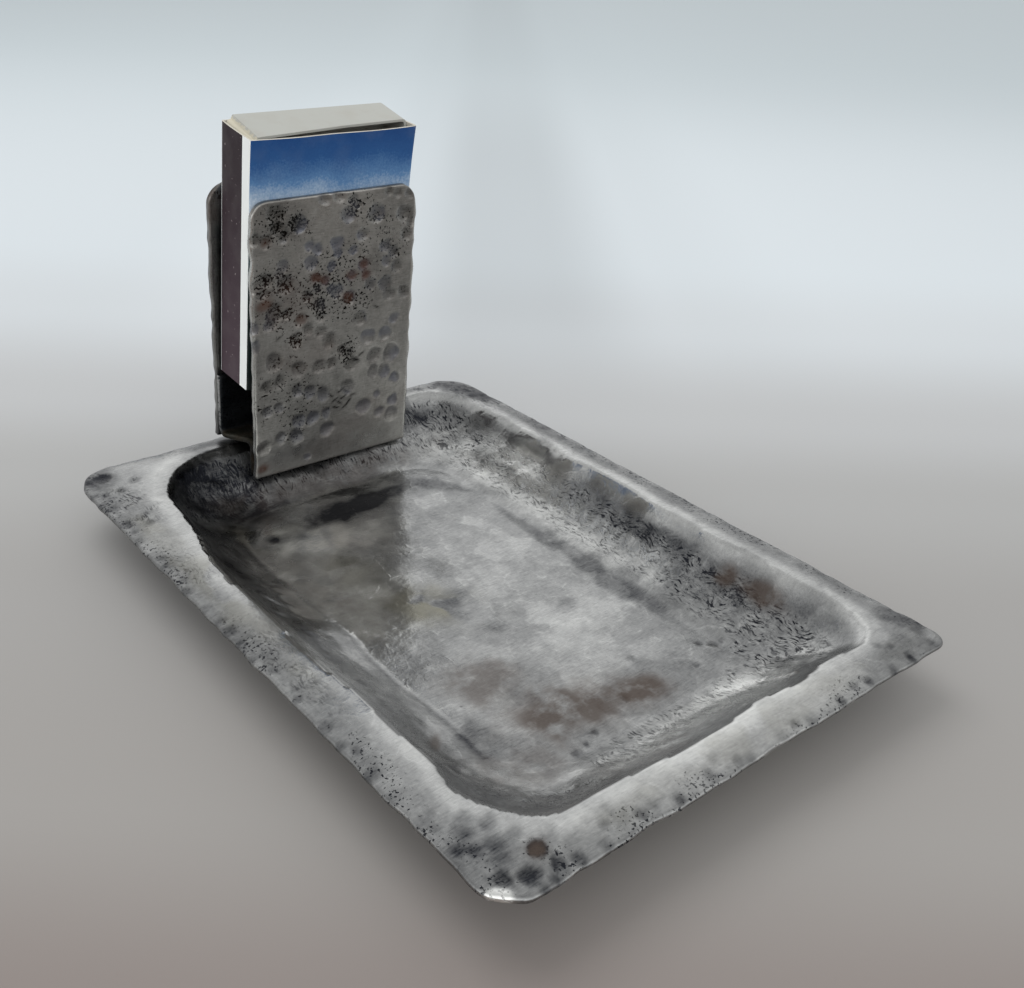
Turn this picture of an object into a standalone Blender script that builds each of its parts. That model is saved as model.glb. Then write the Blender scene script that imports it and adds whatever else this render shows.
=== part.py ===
"""Hammered iron ashtray with a matchbox holder, its matchbox and its matches.

Metres, +Z up. X runs along the tray's short side and Y along its long side, towards the holder.
The origin is on the surface that the tray stands on, under the middle of the tray.
"""
import math

import bmesh
import bpy
from mathutils import Matrix, Vector

for old_object in list(bpy.data.objects):
    bpy.data.objects.remove(old_object, do_unlink=True)

MM = 0.001
WELD_DISTANCE = 0.01 * MM

# Iron sheet, the gap where one piece seats on another, and the thin gap that braze fills
SHEET = 1.2 * MM
SEAT_GAP = 0.3 * MM
BRAZE_GAP = 0.1 * MM

# Tray: outline, rim and bowl
TRAY_WIDTH = 95 * MM
TRAY_LENGTH = 134 * MM
TRAY_CORNER_BACK_RIGHT = 6.5 * MM
TRAY_CORNER_BACK_LEFT = 8 * MM
TRAY_CORNER_FRONT_LEFT = 6 * MM
TRAY_CORNER_FRONT_RIGHT = 3.5 * MM
RIM_LEFT = 8 * MM
RIM_RIGHT = 7.2 * MM
RIM_FRONT = 7.5 * MM
RIM_BACK = 6 * MM
RIM_RISE = 0.8 * MM
BOWL_DEPTH = 9 * MM
BOWL_RUN = 14.5 * MM
BOWL_CORNER_BACK_RIGHT = 10 * MM
BOWL_CORNER_BACK_LEFT = 15 * MM
BOWL_CORNER_FRONT_LEFT = 13 * MM
BOWL_CORNER_FRONT_RIGHT = 8 * MM
LIP_DRIFT = 4 * MM
FLOOR_CORNER = 10 * MM
FLOOR_MARGIN = 3 * MM
EDGE_ROUND = 0.3 * MM

# Holder: two upright plates on a bent foot that stands astride the rim
HOLDER_X = 4 * MM
HOLDER_LEAN = math.radians(3)
HOLDER_TILT = math.radians(0.6)
FRONT_PLATE_MARGIN = 0.7 * MM
BACK_PLATE_WIDTH = 40 * MM
PLATE_TOP = 54 * MM
PLATE_CORNER = 4 * MM
PLATE_EDGE_ROUND = 0.25 * MM
SLOT_PLAY = 1.7 * MM
FOOT_UP_LEG = 15 * MM
FOOT_RISE = 3.2 * MM
FOOT_BEND = 1.4 * MM

# Matchbox: card sleeve and card drawer
BOX_WIDTH = 36 * MM
BOX_DEPTH = 11 * MM
BOX_HEIGHT = 50 * MM
BOX_LEAN = math.radians(1.75)
BOX_TILT = math.radians(1.4)
BOX_BACK_GAP = 0.35 * MM
BOX_INSET = 1.7 * MM
SLEEVE_CARD = 0.4 * MM
SLEEVE_FOLD = 0.5 * MM
DRAWER_CARD = 0.45 * MM
DRAWER_FOLD = 0.9 * MM
DRAWER_CLEARANCE = 0.3 * MM
DRAWER_FRONT_GAP = 1.5 * MM
DRAWER_PROUD = 0.9 * MM

# Matches: square splints with a dipped head
MATCH_LENGTH = 43 * MM
SPLINT = 2 * MM
HEAD_WIDTH = 2.5 * MM
HEAD_LENGTH = 4.6 * MM
FIRST_ROW = 12
SECOND_ROW = 6

# The holder is made for the matchbox: its front plate and its slot take the box's size
FRONT_PLATE_WIDTH = BOX_WIDTH + 2 * FRONT_PLATE_MARGIN
SLOT_DEPTH = BOX_DEPTH + SLOT_PLAY

RIM_HEIGHT = BOWL_DEPTH + SHEET
TRAY_CORNERS = (
    TRAY_CORNER_BACK_RIGHT,
    TRAY_CORNER_BACK_LEFT,
    TRAY_CORNER_FRONT_LEFT,
    TRAY_CORNER_FRONT_RIGHT,
)
BOWL_CORNERS = (
    BOWL_CORNER_BACK_RIGHT,
    BOWL_CORNER_BACK_LEFT,
    BOWL_CORNER_FRONT_LEFT,
    BOWL_CORNER_FRONT_RIGHT,
)
CORNER_STEPS = 7
SIDE_STEPS = 9
RIM_STEPS = 3
WALL_STEPS = 10
BEND_STEPS = 4


def new_collection(name):
    collection = bpy.data.collections.new(name)
    bpy.context.scene.collection.children.link(collection)
    return collection


parts = new_collection("ashtray_with_match_holder")


def new_material(name, colour, roughness, metallic):
    material = bpy.data.materials.new(name)
    material.use_nodes = True
    shader = material.node_tree.nodes["Principled BSDF"]
    shader.inputs["Base Color"].default_value = (*colour, 1.0)
    shader.inputs["Roughness"].default_value = roughness
    shader.inputs["Metallic"].default_value = metallic
    return material


def new_part(name, data, material, parent=None):
    """A named object of the part, with its material, under its parent's frame."""
    part = bpy.data.objects.new(name, data)
    data.materials.clear()
    data.materials.append(material)
    parts.objects.link(part)
    part.parent = parent
    return part


def new_frame(name, location, lean, tilt, parent=None):
    """An empty that carries a group of pieces, leans them forward and tilts them to the right."""
    frame = bpy.data.objects.new(name, None)
    parts.objects.link(frame)
    frame.location = location
    frame.rotation_euler = (lean, tilt, 0.0)
    frame.parent = parent
    return frame


def mesh_from(bm, name):
    bmesh.ops.recalc_face_normals(bm, faces=bm.faces)
    mesh = bpy.data.meshes.new(name)
    bm.to_mesh(mesh)
    bm.free()
    mesh.shade_smooth()
    mesh.set_sharp_from_angle(angle=math.radians(35))
    return mesh


def add_sheet_thickness(part, thickness, side):
    solidify = part.modifiers.new("sheet", "SOLIDIFY")
    solidify.thickness = thickness
    solidify.offset = side
    solidify.use_even_offset = True


def add_edge_round(part, width, steps):
    bevel = part.modifiers.new("edge_round", "BEVEL")
    bevel.width = width
    bevel.segments = steps
    bevel.limit_method = "ANGLE"
    bevel.angle_limit = math.radians(60)


def rounded_rectangle(low, high, radii, corner_steps, side_steps):
    """Points round a rectangle, anticlockwise from its right side, as many for every set of radii.

    The four corner radii are in the order back right, back left, front left, front right.
    """
    sides = ((1, 1), (-1, 1), (-1, -1), (1, -1))
    centres = []
    for (side_x, side_y), radius in zip(sides, radii):
        edge_x = high[0] if side_x > 0 else low[0]
        edge_y = high[1] if side_y > 0 else low[1]
        centres.append((edge_x - side_x * radius, edge_y - side_y * radius))
    points = []
    for corner, (centre, radius) in enumerate(zip(centres, radii)):
        arc = []
        for step in range(corner_steps + 1):
            angle = math.pi / 2 * (corner + step / corner_steps)
            arc.append((centre[0] + radius * math.cos(angle), centre[1] + radius * math.sin(angle)))
        points.extend(arc)
        following = (corner + 1) % len(centres)
        turn = math.pi / 2 * (corner + 1)
        side_end = (
            centres[following][0] + radii[following] * math.cos(turn),
            centres[following][1] + radii[following] * math.sin(turn),
        )
        for step in range(1, side_steps):
            share = step / side_steps
            points.append(
                (
                    arc[-1][0] + (side_end[0] - arc[-1][0]) * share,
                    arc[-1][1] + (side_end[1] - arc[-1][1]) * share,
                )
            )
    return points


def rim_height_at(rim_share):
    """The rim swells up from its edge to the crest of the lip."""
    return RIM_HEIGHT + RIM_RISE * math.sin(math.pi / 2 * rim_share)


def wall_height_at(wall_share):
    """The bowl's wall falls from the lip to the floor in one S-curve."""
    drop = BOWL_DEPTH + RIM_RISE
    return RIM_HEIGHT + RIM_RISE - drop * (1 - math.cos(math.pi * wall_share)) / 2


def tray_height_behind(y):
    """Height of the tray's upper face at the holder, at the distance y along the tray."""
    inset = TRAY_LENGTH / 2 - y
    if inset < RIM_BACK:
        return rim_height_at(inset / RIM_BACK)
    return wall_height_at(min(1.0, (inset - RIM_BACK) / BOWL_RUN))


def lip_drift_share(x, y, left, right):
    """The left lip leans in towards the holder: most at the back, none on the right or in front."""
    return (right - x) / (right - left) * max(0.0, y / (TRAY_LENGTH / 2)) ** 2


def tray_ring(rim_share, wall_share, floor_share):
    """One closed level line of the tray's upper face, as x and y points."""
    run = BOWL_RUN * wall_share + FLOOR_MARGIN * floor_share
    low = (
        -TRAY_WIDTH / 2 + RIM_LEFT * rim_share + run,
        -TRAY_LENGTH / 2 + RIM_FRONT * rim_share + run,
    )
    high = (
        TRAY_WIDTH / 2 - RIM_RIGHT * rim_share - run,
        TRAY_LENGTH / 2 - RIM_BACK * rim_share - run,
    )
    radii = []
    for tray_corner, bowl_corner in zip(TRAY_CORNERS, BOWL_CORNERS):
        radius = tray_corner + (bowl_corner - tray_corner) * rim_share
        radii.append(radius + (FLOOR_CORNER - bowl_corner) * wall_share)
    outline = rounded_rectangle(low, high, radii, CORNER_STEPS, SIDE_STEPS)
    drift = LIP_DRIFT * rim_share * (1 - wall_share)
    return [(x + drift * lip_drift_share(x, y, low[0], high[0]), y) for x, y in outline]


def make_tray(material):
    """A sheet beaten down into a bowl: level lines from the edge to the floor, lofted and thickened."""
    levels = []
    for step in range(RIM_STEPS + 1):
        share = step / RIM_STEPS
        levels.append((tray_ring(share, 0.0, 0.0), rim_height_at(share)))
    for step in range(1, WALL_STEPS + 1):
        share = step / WALL_STEPS
        levels.append((tray_ring(1.0, share, 0.0), wall_height_at(share)))
    levels.append((tray_ring(1.0, 1.0, 1.0), SHEET))

    bm = bmesh.new()
    rings = []
    for outline, height in levels:
        rings.append([bm.verts.new((x, y, height)) for x, y in outline])
    for outer, inner in zip(rings, rings[1:]):
        for index in range(len(outer)):
            following = (index + 1) % len(outer)
            bm.faces.new((outer[index], outer[following], inner[following], inner[index]))
    bm.faces.new(rings[-1])
    tray = new_part("tray", mesh_from(bm, "tray"), material)
    add_sheet_thickness(tray, SHEET, -1.0)
    add_edge_round(tray, EDGE_ROUND, 2)
    return tray


def holder_point(y, z):
    """World height and depth of a point given in the holder's leaning frame."""
    turned = Matrix.Rotation(HOLDER_LEAN, 3, "X") @ Vector((0.0, y, z))
    return HOLDER_Y + turned.y, RIM_HEIGHT + turned.z


def lowest_seat(y, half_width):
    """The level, in the holder's frame, at which a tilted edge at depth y clears the tray by the seat gap."""
    world_y = HOLDER_Y + y * math.cos(HOLDER_LEAN)
    for _ in range(4):
        level = tray_height_behind(world_y) + SEAT_GAP - RIM_HEIGHT - y * math.sin(HOLDER_LEAN)
        level /= math.cos(HOLDER_LEAN)
        world_y = holder_point(y, level)[0]
    return level + half_width * math.tan(HOLDER_TILT)


HOLDER_Y = TRAY_LENGTH / 2 - SHEET
FRONT_PLATE_BACK = -SLOT_DEPTH
FRONT_PLATE_BOTTOM = lowest_seat(FRONT_PLATE_BACK, FRONT_PLATE_WIDTH / 2)
BACK_PLATE_BOTTOM = lowest_seat(0.0, BACK_PLATE_WIDTH / 2)
DOWN_LEG_BACK = FRONT_PLATE_BACK + BRAZE_GAP + SHEET
DOWN_LEG_BOTTOM = lowest_seat(DOWN_LEG_BACK, FRONT_PLATE_WIDTH / 2)


def make_plate(name, width, bottom, face_y, material, parent):
    """A hammered plate: an outline with square feet and rounded upper corners."""
    outline = [(width / 2, bottom), (width / 2, PLATE_TOP - PLATE_CORNER)]
    for side, first in ((1, 0), (-1, 1)):
        for step in range(1, CORNER_STEPS + 1):
            angle = math.pi / 2 * (first + step / CORNER_STEPS)
            outline.append(
                (
                    side * (width / 2 - PLATE_CORNER) + PLATE_CORNER * math.cos(angle),
                    PLATE_TOP - PLATE_CORNER + PLATE_CORNER * math.sin(angle),
                )
            )
    outline.append((-width / 2, bottom))
    curve = bpy.data.curves.new(name, "CURVE")
    curve.dimensions = "2D"
    curve.fill_mode = "BOTH"
    curve.extrude = SHEET / 2
    spline = curve.splines.new("POLY")
    spline.points.add(len(outline) - 1)
    for point, (x, z) in zip(spline.points, outline):
        point.co = (x, z, 0.0, 1.0)
    spline.use_cyclic_u = True
    plate = new_part(name, curve, material, parent)
    plate.rotation_euler = (math.pi / 2, 0.0, 0.0)
    plate.location = (0.0, face_y + SHEET / 2, 0.0)
    weld = plate.modifiers.new("weld", "WELD")
    weld.merge_threshold = WELD_DISTANCE
    add_edge_round(plate, PLATE_EDGE_ROUND, 2)
    return plate


def filleted(points, radius):
    """The same path with each inner corner turned into an arc."""
    path = [points[0]]
    for before, corner, after in zip(points, points[1:], points[2:]):
        back = (before - corner).normalized()
        ahead = (after - corner).normalized()
        half = back.angle(ahead) / 2
        reach = radius / math.tan(half)
        centre = corner + (back + ahead).normalized() * radius / math.sin(half)
        start = (corner + back * reach - centre).normalized()
        end = (corner + ahead * reach - centre).normalized()
        for step in range(BEND_STEPS + 1):
            path.append(centre + radius * start.slerp(end, step / BEND_STEPS))
    path.append(points[-1])
    return path


def make_foot(material, parent):
    """A strip bent in a Z: up behind the box, across over the rim, and down behind the front plate."""
    half_sheet = SHEET / 2
    heel = BACK_PLATE_BOTTOM + half_sheet
    corners = [
        Vector((-BRAZE_GAP - half_sheet, FOOT_UP_LEG)),
        Vector((-BRAZE_GAP - half_sheet, heel)),
        Vector((DOWN_LEG_BACK - half_sheet, heel + FOOT_RISE)),
        Vector((DOWN_LEG_BACK - half_sheet, DOWN_LEG_BOTTOM)),
    ]
    path = filleted(corners, FOOT_BEND)
    bm = bmesh.new()
    rows = []
    for y, z in path:
        depth_share = min(1.0, max(0.0, (-y - half_sheet) / (-DOWN_LEG_BACK)))
        half_width = (BACK_PLATE_WIDTH + (FRONT_PLATE_WIDTH - BACK_PLATE_WIDTH) * depth_share) / 2
        rows.append((bm.verts.new((-half_width, y, z)), bm.verts.new((half_width, y, z))))
    for (left, right), (next_left, next_right) in zip(rows, rows[1:]):
        bm.faces.new((left, right, next_right, next_left))
    foot = new_part("holder_foot", mesh_from(bm, "holder_foot"), material, parent)
    add_sheet_thickness(foot, SHEET, 0.0)
    return foot


def make_sleeve(material, parent):
    """A card tube, open at both ends, with its back bottom edge on the frame's origin."""
    outline = rounded_rectangle(
        (-BOX_WIDTH / 2, -BOX_DEPTH), (BOX_WIDTH / 2, 0.0), (SLEEVE_FOLD,) * 4, 2, 1
    )
    bm = bmesh.new()
    lower = [bm.verts.new((x, y, 0.0)) for x, y in outline]
    upper = [bm.verts.new((x, y, BOX_HEIGHT)) for x, y in outline]
    for index in range(len(outline)):
        following = (index + 1) % len(outline)
        bm.faces.new((lower[index], lower[following], upper[following], upper[index]))
    sleeve = new_part("matchbox_sleeve", mesh_from(bm, "matchbox_sleeve"), material, parent)
    add_sheet_thickness(sleeve, SLEEVE_CARD, -1.0)
    return sleeve


DRAWER_BACK = -SLEEVE_CARD - DRAWER_CLEARANCE
DRAWER_FRONT = -BOX_DEPTH + SLEEVE_CARD + DRAWER_FRONT_GAP
DRAWER_WIDTH = BOX_WIDTH - 2 * SLEEVE_CARD - 2 * DRAWER_CLEARANCE
DRAWER_BOTTOM = DRAWER_CLEARANCE
DRAWER_TOP = BOX_HEIGHT + DRAWER_PROUD


def make_drawer(material, parent):
    """A folded card tray, open towards the box's front: one face left out of a box, then thickened."""
    bm = bmesh.new()
    bmesh.ops.create_cube(bm, size=1.0)
    size = Vector((DRAWER_WIDTH, DRAWER_BACK - DRAWER_FRONT, DRAWER_TOP - DRAWER_BOTTOM))
    middle = Vector((0.0, (DRAWER_BACK + DRAWER_FRONT) / 2, (DRAWER_TOP + DRAWER_BOTTOM) / 2))
    for vert in bm.verts:
        vert.co = middle + vert.co * size
    edges = [edge for edge in bm.edges if abs(edge.verts[0].co.y - edge.verts[1].co.y) > size.y / 2]
    bmesh.ops.bevel(bm, geom=edges, offset=DRAWER_FOLD, segments=3, profile=0.5, affect="EDGES")
    front = [face for face in bm.faces if all(vert.co.y < middle.y for vert in face.verts)]
    bmesh.ops.delete(bm, geom=front, context="FACES_ONLY")
    drawer = new_part("matchbox_drawer", mesh_from(bm, "matchbox_drawer"), material, parent)
    add_sheet_thickness(drawer, DRAWER_CARD, -1.0)
    return drawer


def match_mesh(material):
    """One match: a square splint joined to its dipped, egg-shaped head."""
    bm = bmesh.new()
    bmesh.ops.create_cube(bm, size=1.0)
    for vert in bm.verts:
        vert.co = Vector(
            (vert.co.x * SPLINT, vert.co.y * SPLINT, (vert.co.z + 0.5) * (MATCH_LENGTH - HEAD_LENGTH / 2))
        )
    splint = new_part("splint", mesh_from(bm, "splint"), material)

    bm = bmesh.new()
    bmesh.ops.create_uvsphere(bm, u_segments=12, v_segments=7, radius=0.5)
    for vert in bm.verts:
        vert.co = Vector(
            (
                vert.co.x * HEAD_WIDTH,
                vert.co.y * HEAD_WIDTH,
                vert.co.z * HEAD_LENGTH + MATCH_LENGTH - HEAD_LENGTH / 2,
            )
        )
    head = new_part("head", mesh_from(bm, "head"), material)

    join = splint.modifiers.new("join", "BOOLEAN")
    join.operation = "UNION"
    join.solver = "EXACT"
    join.object = head
    bpy.context.view_layer.update()
    evaluated = splint.evaluated_get(bpy.context.evaluated_depsgraph_get())
    mesh = bpy.data.meshes.new_from_object(evaluated)
    mesh.name = "match"
    mesh.shade_smooth()
    mesh.set_sharp_from_angle(angle=math.radians(35))
    bpy.data.objects.remove(splint, do_unlink=True)
    bpy.data.objects.remove(head, do_unlink=True)
    return mesh


def make_matches(material, parent):
    """A full row of matches against the drawer's back, and a part row in front of it."""
    mesh = match_mesh(material)
    inner_width = DRAWER_WIDTH - 2 * DRAWER_CARD
    pitch = inner_width / FIRST_ROW
    row_pitch = HEAD_WIDTH + DRAWER_CLEARANCE / 2
    first_y = DRAWER_BACK - DRAWER_CARD - DRAWER_CLEARANCE / 2 - HEAD_WIDTH / 2
    floor_z = DRAWER_BOTTOM + DRAWER_CARD + DRAWER_CLEARANCE / 2
    for number in range(FIRST_ROW + SECOND_ROW):
        row, place = divmod(number, FIRST_ROW)
        match = new_part(f"match_{number + 1:02d}", mesh, material, parent)
        match.location = (inner_width / 2 - pitch * (place + 0.5), first_y - row * row_pitch, floor_z)


iron = new_material("burnished_iron", (0.36, 0.36, 0.35), 0.42, 1.0)
dark_iron = new_material("dark_hammered_iron", (0.20, 0.19, 0.18), 0.48, 1.0)
front_iron = new_material("front_plate_iron", (0.22, 0.21, 0.20), 0.46, 1.0)
foot_iron = new_material("scaled_foot_iron", (0.13, 0.11, 0.10), 0.6, 1.0)
label_card = new_material("label_card", (0.16, 0.24, 0.47), 0.6, 0.0)
plain_card = new_material("plain_card", (0.56, 0.55, 0.50), 0.85, 0.0)
match_wood = new_material("match_wood", (0.72, 0.58, 0.40), 0.8, 0.0)

make_tray(iron)
holder = new_frame("holder_frame", (HOLDER_X, HOLDER_Y, RIM_HEIGHT), HOLDER_LEAN, HOLDER_TILT)
make_foot(foot_iron, holder)
make_plate("holder_back_plate", BACK_PLATE_WIDTH, BACK_PLATE_BOTTOM, 0.0, dark_iron, holder)
make_plate(
    "holder_front_plate", FRONT_PLATE_WIDTH, FRONT_PLATE_BOTTOM, FRONT_PLATE_BACK - SHEET, front_iron, holder
)
box_middle = FRONT_PLATE_MARGIN - BOX_INSET
box_seat = FOOT_UP_LEG + SEAT_GAP + BOX_WIDTH / 2 * math.sin(BOX_TILT)
box_frame = new_frame(
    "matchbox_frame", (box_middle, -BOX_BACK_GAP, box_seat), BOX_LEAN, BOX_TILT, holder
)
make_sleeve(label_card, box_frame)
drawer_frame = new_frame("drawer_frame", (0.0, 0.0, 0.0), 0.0, 0.0, box_frame)
make_drawer(plain_card, drawer_frame)
make_matches(match_wood, drawer_frame)
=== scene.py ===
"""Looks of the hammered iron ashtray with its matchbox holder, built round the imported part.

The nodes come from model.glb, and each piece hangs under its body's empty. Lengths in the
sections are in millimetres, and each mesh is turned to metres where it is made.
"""

import math

import bpy
import numpy as np
from mathutils import Matrix, Vector


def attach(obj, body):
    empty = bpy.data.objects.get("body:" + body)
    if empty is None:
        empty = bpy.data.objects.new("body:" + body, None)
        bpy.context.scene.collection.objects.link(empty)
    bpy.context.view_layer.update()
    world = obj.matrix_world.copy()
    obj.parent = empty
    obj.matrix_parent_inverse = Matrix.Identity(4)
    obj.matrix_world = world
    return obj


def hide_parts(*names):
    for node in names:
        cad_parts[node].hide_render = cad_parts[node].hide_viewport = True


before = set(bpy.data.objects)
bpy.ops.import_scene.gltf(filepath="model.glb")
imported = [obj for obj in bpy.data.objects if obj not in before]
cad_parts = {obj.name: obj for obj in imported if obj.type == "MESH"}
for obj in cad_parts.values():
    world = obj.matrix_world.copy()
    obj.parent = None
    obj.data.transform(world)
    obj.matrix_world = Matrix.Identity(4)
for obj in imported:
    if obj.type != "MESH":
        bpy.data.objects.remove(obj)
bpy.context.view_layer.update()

# Viewpoint: close above the tray's front left corner, looking down across it to the holder.
# The camera is rolled a little, and its frame lies slightly to the right of its lens.
CAMERA_PLACE = Vector((-0.110196, -0.134739, 0.11518))
CAMERA_TURN = math.radians(-39.002)
CAMERA_DOWN = math.radians(28.269)
CAMERA_ROLL = math.radians(2.216)
SENSOR_WIDTH = 36.0
LENS = 39.62
FRAME_SHIFT = 0.045
NEAREST_SEEN = 0.01

camera_data = bpy.data.cameras.new("camera")
camera_data.sensor_fit = "HORIZONTAL"
camera_data.sensor_width = SENSOR_WIDTH
camera_data.lens = LENS
camera_data.shift_x = FRAME_SHIFT
camera_data.clip_start = NEAREST_SEEN
camera = bpy.data.objects.new("camera", camera_data)
bpy.context.scene.collection.objects.link(camera)
camera.matrix_world = (
    Matrix.Translation(CAMERA_PLACE)
    @ Matrix.Rotation(CAMERA_TURN, 4, "Z")
    @ Matrix.Rotation(math.pi / 2 - CAMERA_DOWN, 4, "X")
    @ Matrix.Rotation(CAMERA_ROLL, 4, "Z")
)
bpy.context.scene.camera = camera
bpy.context.scene.view_settings.view_transform = "Standard"

# Table and daylight: a matt pale top that runs far back, lit softly from behind and above, as by
# a window. Its colour is painted darker and warmer near the camera and lighter far back, as painted
# shade and light, with a painted shadow band across it to the right of the holder.
MM = 0.001
TABLE_HALF = 3.0
TABLE_ROUGHNESS = 0.7
TABLE_PAINTED_SHADES = (
    (-0.090, (0.232, 0.202, 0.188)),
    (-0.055, (0.300, 0.288, 0.275)),
    (0.0, (0.312, 0.306, 0.298)),
    (0.045, (0.360, 0.362, 0.358)),
    (0.085, (0.430, 0.440, 0.446)),
    (0.15, (0.52, 0.553, 0.575)),
    (0.22, (0.55, 0.597, 0.626)),
    (0.80, (0.475, 0.534, 0.562)),
)
TABLE_LOOK = (0.629, 0.777, 0.0)
TABLE_ACROSS = (0.777, -0.629, 0.0)
TABLE_REACH = (-0.1, 0.9)
SIDE_REACH = (-0.12, 0.12)
# Painted shadow and light across the table: darker to the right of the holder, lighter beside the tray's
# left edge and far to the right
SIDE_PAINTED_SHADOWS = (
    (0.0, 0.99), (0.24, 1.07), (0.38, 0.96), (0.50, 0.81), (0.60, 0.82), (0.76, 1.01), (1.0, 1.07),
)
PAINTED_SHADOW_SHARES = ((0.16, 0.0), (0.28, 1.0), (0.45, 1.0), (0.75, 0.3))
SKY_MIDDLE = Vector((0.52, 0.72, 0.46)).normalized()
SKY_SHADES = ((0.0, 1.45), (0.30, 1.55), (0.55, 0.95), (0.75, 0.66), (0.90, 0.74), (0.96, 0.98), (1.0, 1.18))
LAMP_PLACE = Vector((-0.09, 0.42, 0.78))
LAMP_SIZE = 0.6
LAMP_POWER = 2.7
HORIZON_SHADES = ((0.0, 0.55), (0.15, 0.75), (0.35, 1.0))


def add_node(tree, kind, values, **settings):
    """One node of a tree: values go to its inputs, and another node's output is linked instead."""
    node = tree.nodes.new(kind)
    for name, setting in settings.items():
        setattr(node, name, setting)
    for name, value in values.items():
        if isinstance(value, bpy.types.NodeSocket):
            tree.links.new(value, node.inputs[name])
        else:
            node.inputs[name].default_value = value
    return node


def add_ramp(tree, value, stops, interpolation="EASE"):
    """A colour ramp through the given stops, each a place and a grey or a colour."""
    node = add_node(tree, "ShaderNodeValToRGB", {"Fac": value})
    ramp = node.color_ramp
    ramp.interpolation = interpolation
    while len(ramp.elements) < len(stops):
        ramp.elements.new(1.0)
    for element, (place, shade) in zip(ramp.elements, stops):
        element.position = place
        shade = shade if isinstance(shade, tuple) else (shade,) * 3
        element.color = (*shade, 1.0)
    return node.outputs["Color"]


def add_map(tree, value, low, high, to_low=0.0, to_high=1.0):
    """The value stretched so that low becomes to_low and high becomes to_high, and held there."""
    values = {"Value": value, "From Min": low, "From Max": high, "To Min": to_low, "To Max": to_high}
    return add_node(tree, "ShaderNodeMapRange", values).outputs["Result"]


def add_mix(tree, factor, first, second, blend="MIX"):
    """Two colours mixed by a factor."""
    values = {0: factor, 6: first, 7: second}
    return add_node(tree, "ShaderNodeMix", values, data_type="RGBA", blend_type=blend).outputs[2]


def add_reach(tree, place, way):
    """How far a place lies in one direction."""
    dot = add_node(tree, "ShaderNodeVectorMath", {0: place, 1: way}, operation="DOT_PRODUCT")
    return dot.outputs["Value"]


def new_material(name):
    """A material with its node tree and its shader."""
    material = bpy.data.materials.new(name)
    material.use_nodes = True
    return material, material.node_tree, material.node_tree.nodes["Principled BSDF"]


def new_piece(name, points, faces, material):
    """A smooth mesh from points in millimetres."""
    mesh = bpy.data.meshes.new(name)
    mesh.from_pydata((np.asarray(points, float) * MM).tolist(), [], [list(face) for face in faces])
    mesh.materials.append(material)
    mesh.shade_smooth()
    piece = bpy.data.objects.new(name, mesh)
    bpy.context.scene.collection.objects.link(piece)
    return piece


table_top, tree, shader = new_material("table_top")
place = add_node(tree, "ShaderNodeNewGeometry", {}).outputs["Position"]
far_share = add_map(tree, add_reach(tree, place, TABLE_LOOK), *TABLE_REACH)
span = TABLE_REACH[1] - TABLE_REACH[0]
stops = [((far - TABLE_REACH[0]) / span, shade) for far, shade in TABLE_PAINTED_SHADES]
shade = add_ramp(tree, far_share, stops)
painted_side_shadow = add_ramp(tree, add_map(tree, add_reach(tree, place, TABLE_ACROSS), *SIDE_REACH), SIDE_PAINTED_SHADOWS)
shade = add_mix(tree, add_ramp(tree, far_share, PAINTED_SHADOW_SHARES), shade, painted_side_shadow, "MULTIPLY")
tree.links.new(shade, shader.inputs["Base Color"])
shader.inputs["Roughness"].default_value = TABLE_ROUGHNESS
half = TABLE_HALF / MM
corners = [(-half, -half, 0.0), (half, -half, 0.0), (half, half, 0.0), (-half, half, 0.0)]
table = new_piece("table", corners, [(0, 1, 2, 3)], table_top)

world = bpy.data.worlds.new("room")
world.use_nodes = True
bpy.context.scene.world = world
tree = world.node_tree
background = tree.nodes["Background"]
toward = add_node(tree, "ShaderNodeTexCoord", {}).outputs["Generated"]
sky = add_ramp(tree, add_map(tree, add_reach(tree, toward, SKY_MIDDLE), -1.0, 1.0), SKY_SHADES)
height = add_node(tree, "ShaderNodeSeparateXYZ", {"Vector": toward}).outputs["Z"]
sky = add_mix(tree, 1.0, sky, add_ramp(tree, height, HORIZON_SHADES), "MULTIPLY")
tree.links.new(sky, background.inputs["Color"])
background.inputs["Strength"].default_value = 1.0

lamp_data = bpy.data.lights.new("window", "AREA")
lamp_data.shape = "SQUARE"
lamp_data.size = LAMP_SIZE
lamp_data.energy = LAMP_POWER
lamp = bpy.data.objects.new("window", lamp_data)
bpy.context.scene.collection.objects.link(lamp)
lamp.location = LAMP_PLACE
lamp.visible_glossy = False
lamp.rotation_euler = LAMP_PLACE.to_track_quat("Z", "Y").to_euler()

# Tray: one sheet of iron, beaten down over a stake into a bowl, so that a flat rim stays all
# round. The rim is planished with soft blows, its edge and the bowl are left rougher.
SHEET = 1.2
TRAY_HALF_WIDTH = 47.5
TRAY_HALF_LENGTH = 67.0
RIM_LEFT = 8.0
RIM_RIGHT = 7.2
RIM_FRONT = 7.5
RIM_BACK = 6.0
RIM_HEIGHT = 10.2
RIM_RISE = 0.8
BOWL_RUN = 14.5
TRAY_CORNERS = (6.5, 8.0, 6.0, 3.5)
BOWL_CORNERS = (10.0, 13.0, 13.0, 8.0)
FLOOR_CORNERS = (10.0, 10.0, 10.0, 10.0)
LIP_DRIFT = 9.5
LIP_DRIFT_POWER = 2.4
LIP_WAVER = 0.7
LIP_WAVER_SIZES = (8.0, 8.5)
LIP_WAVER_START = (2.0, 5.0)

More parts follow.
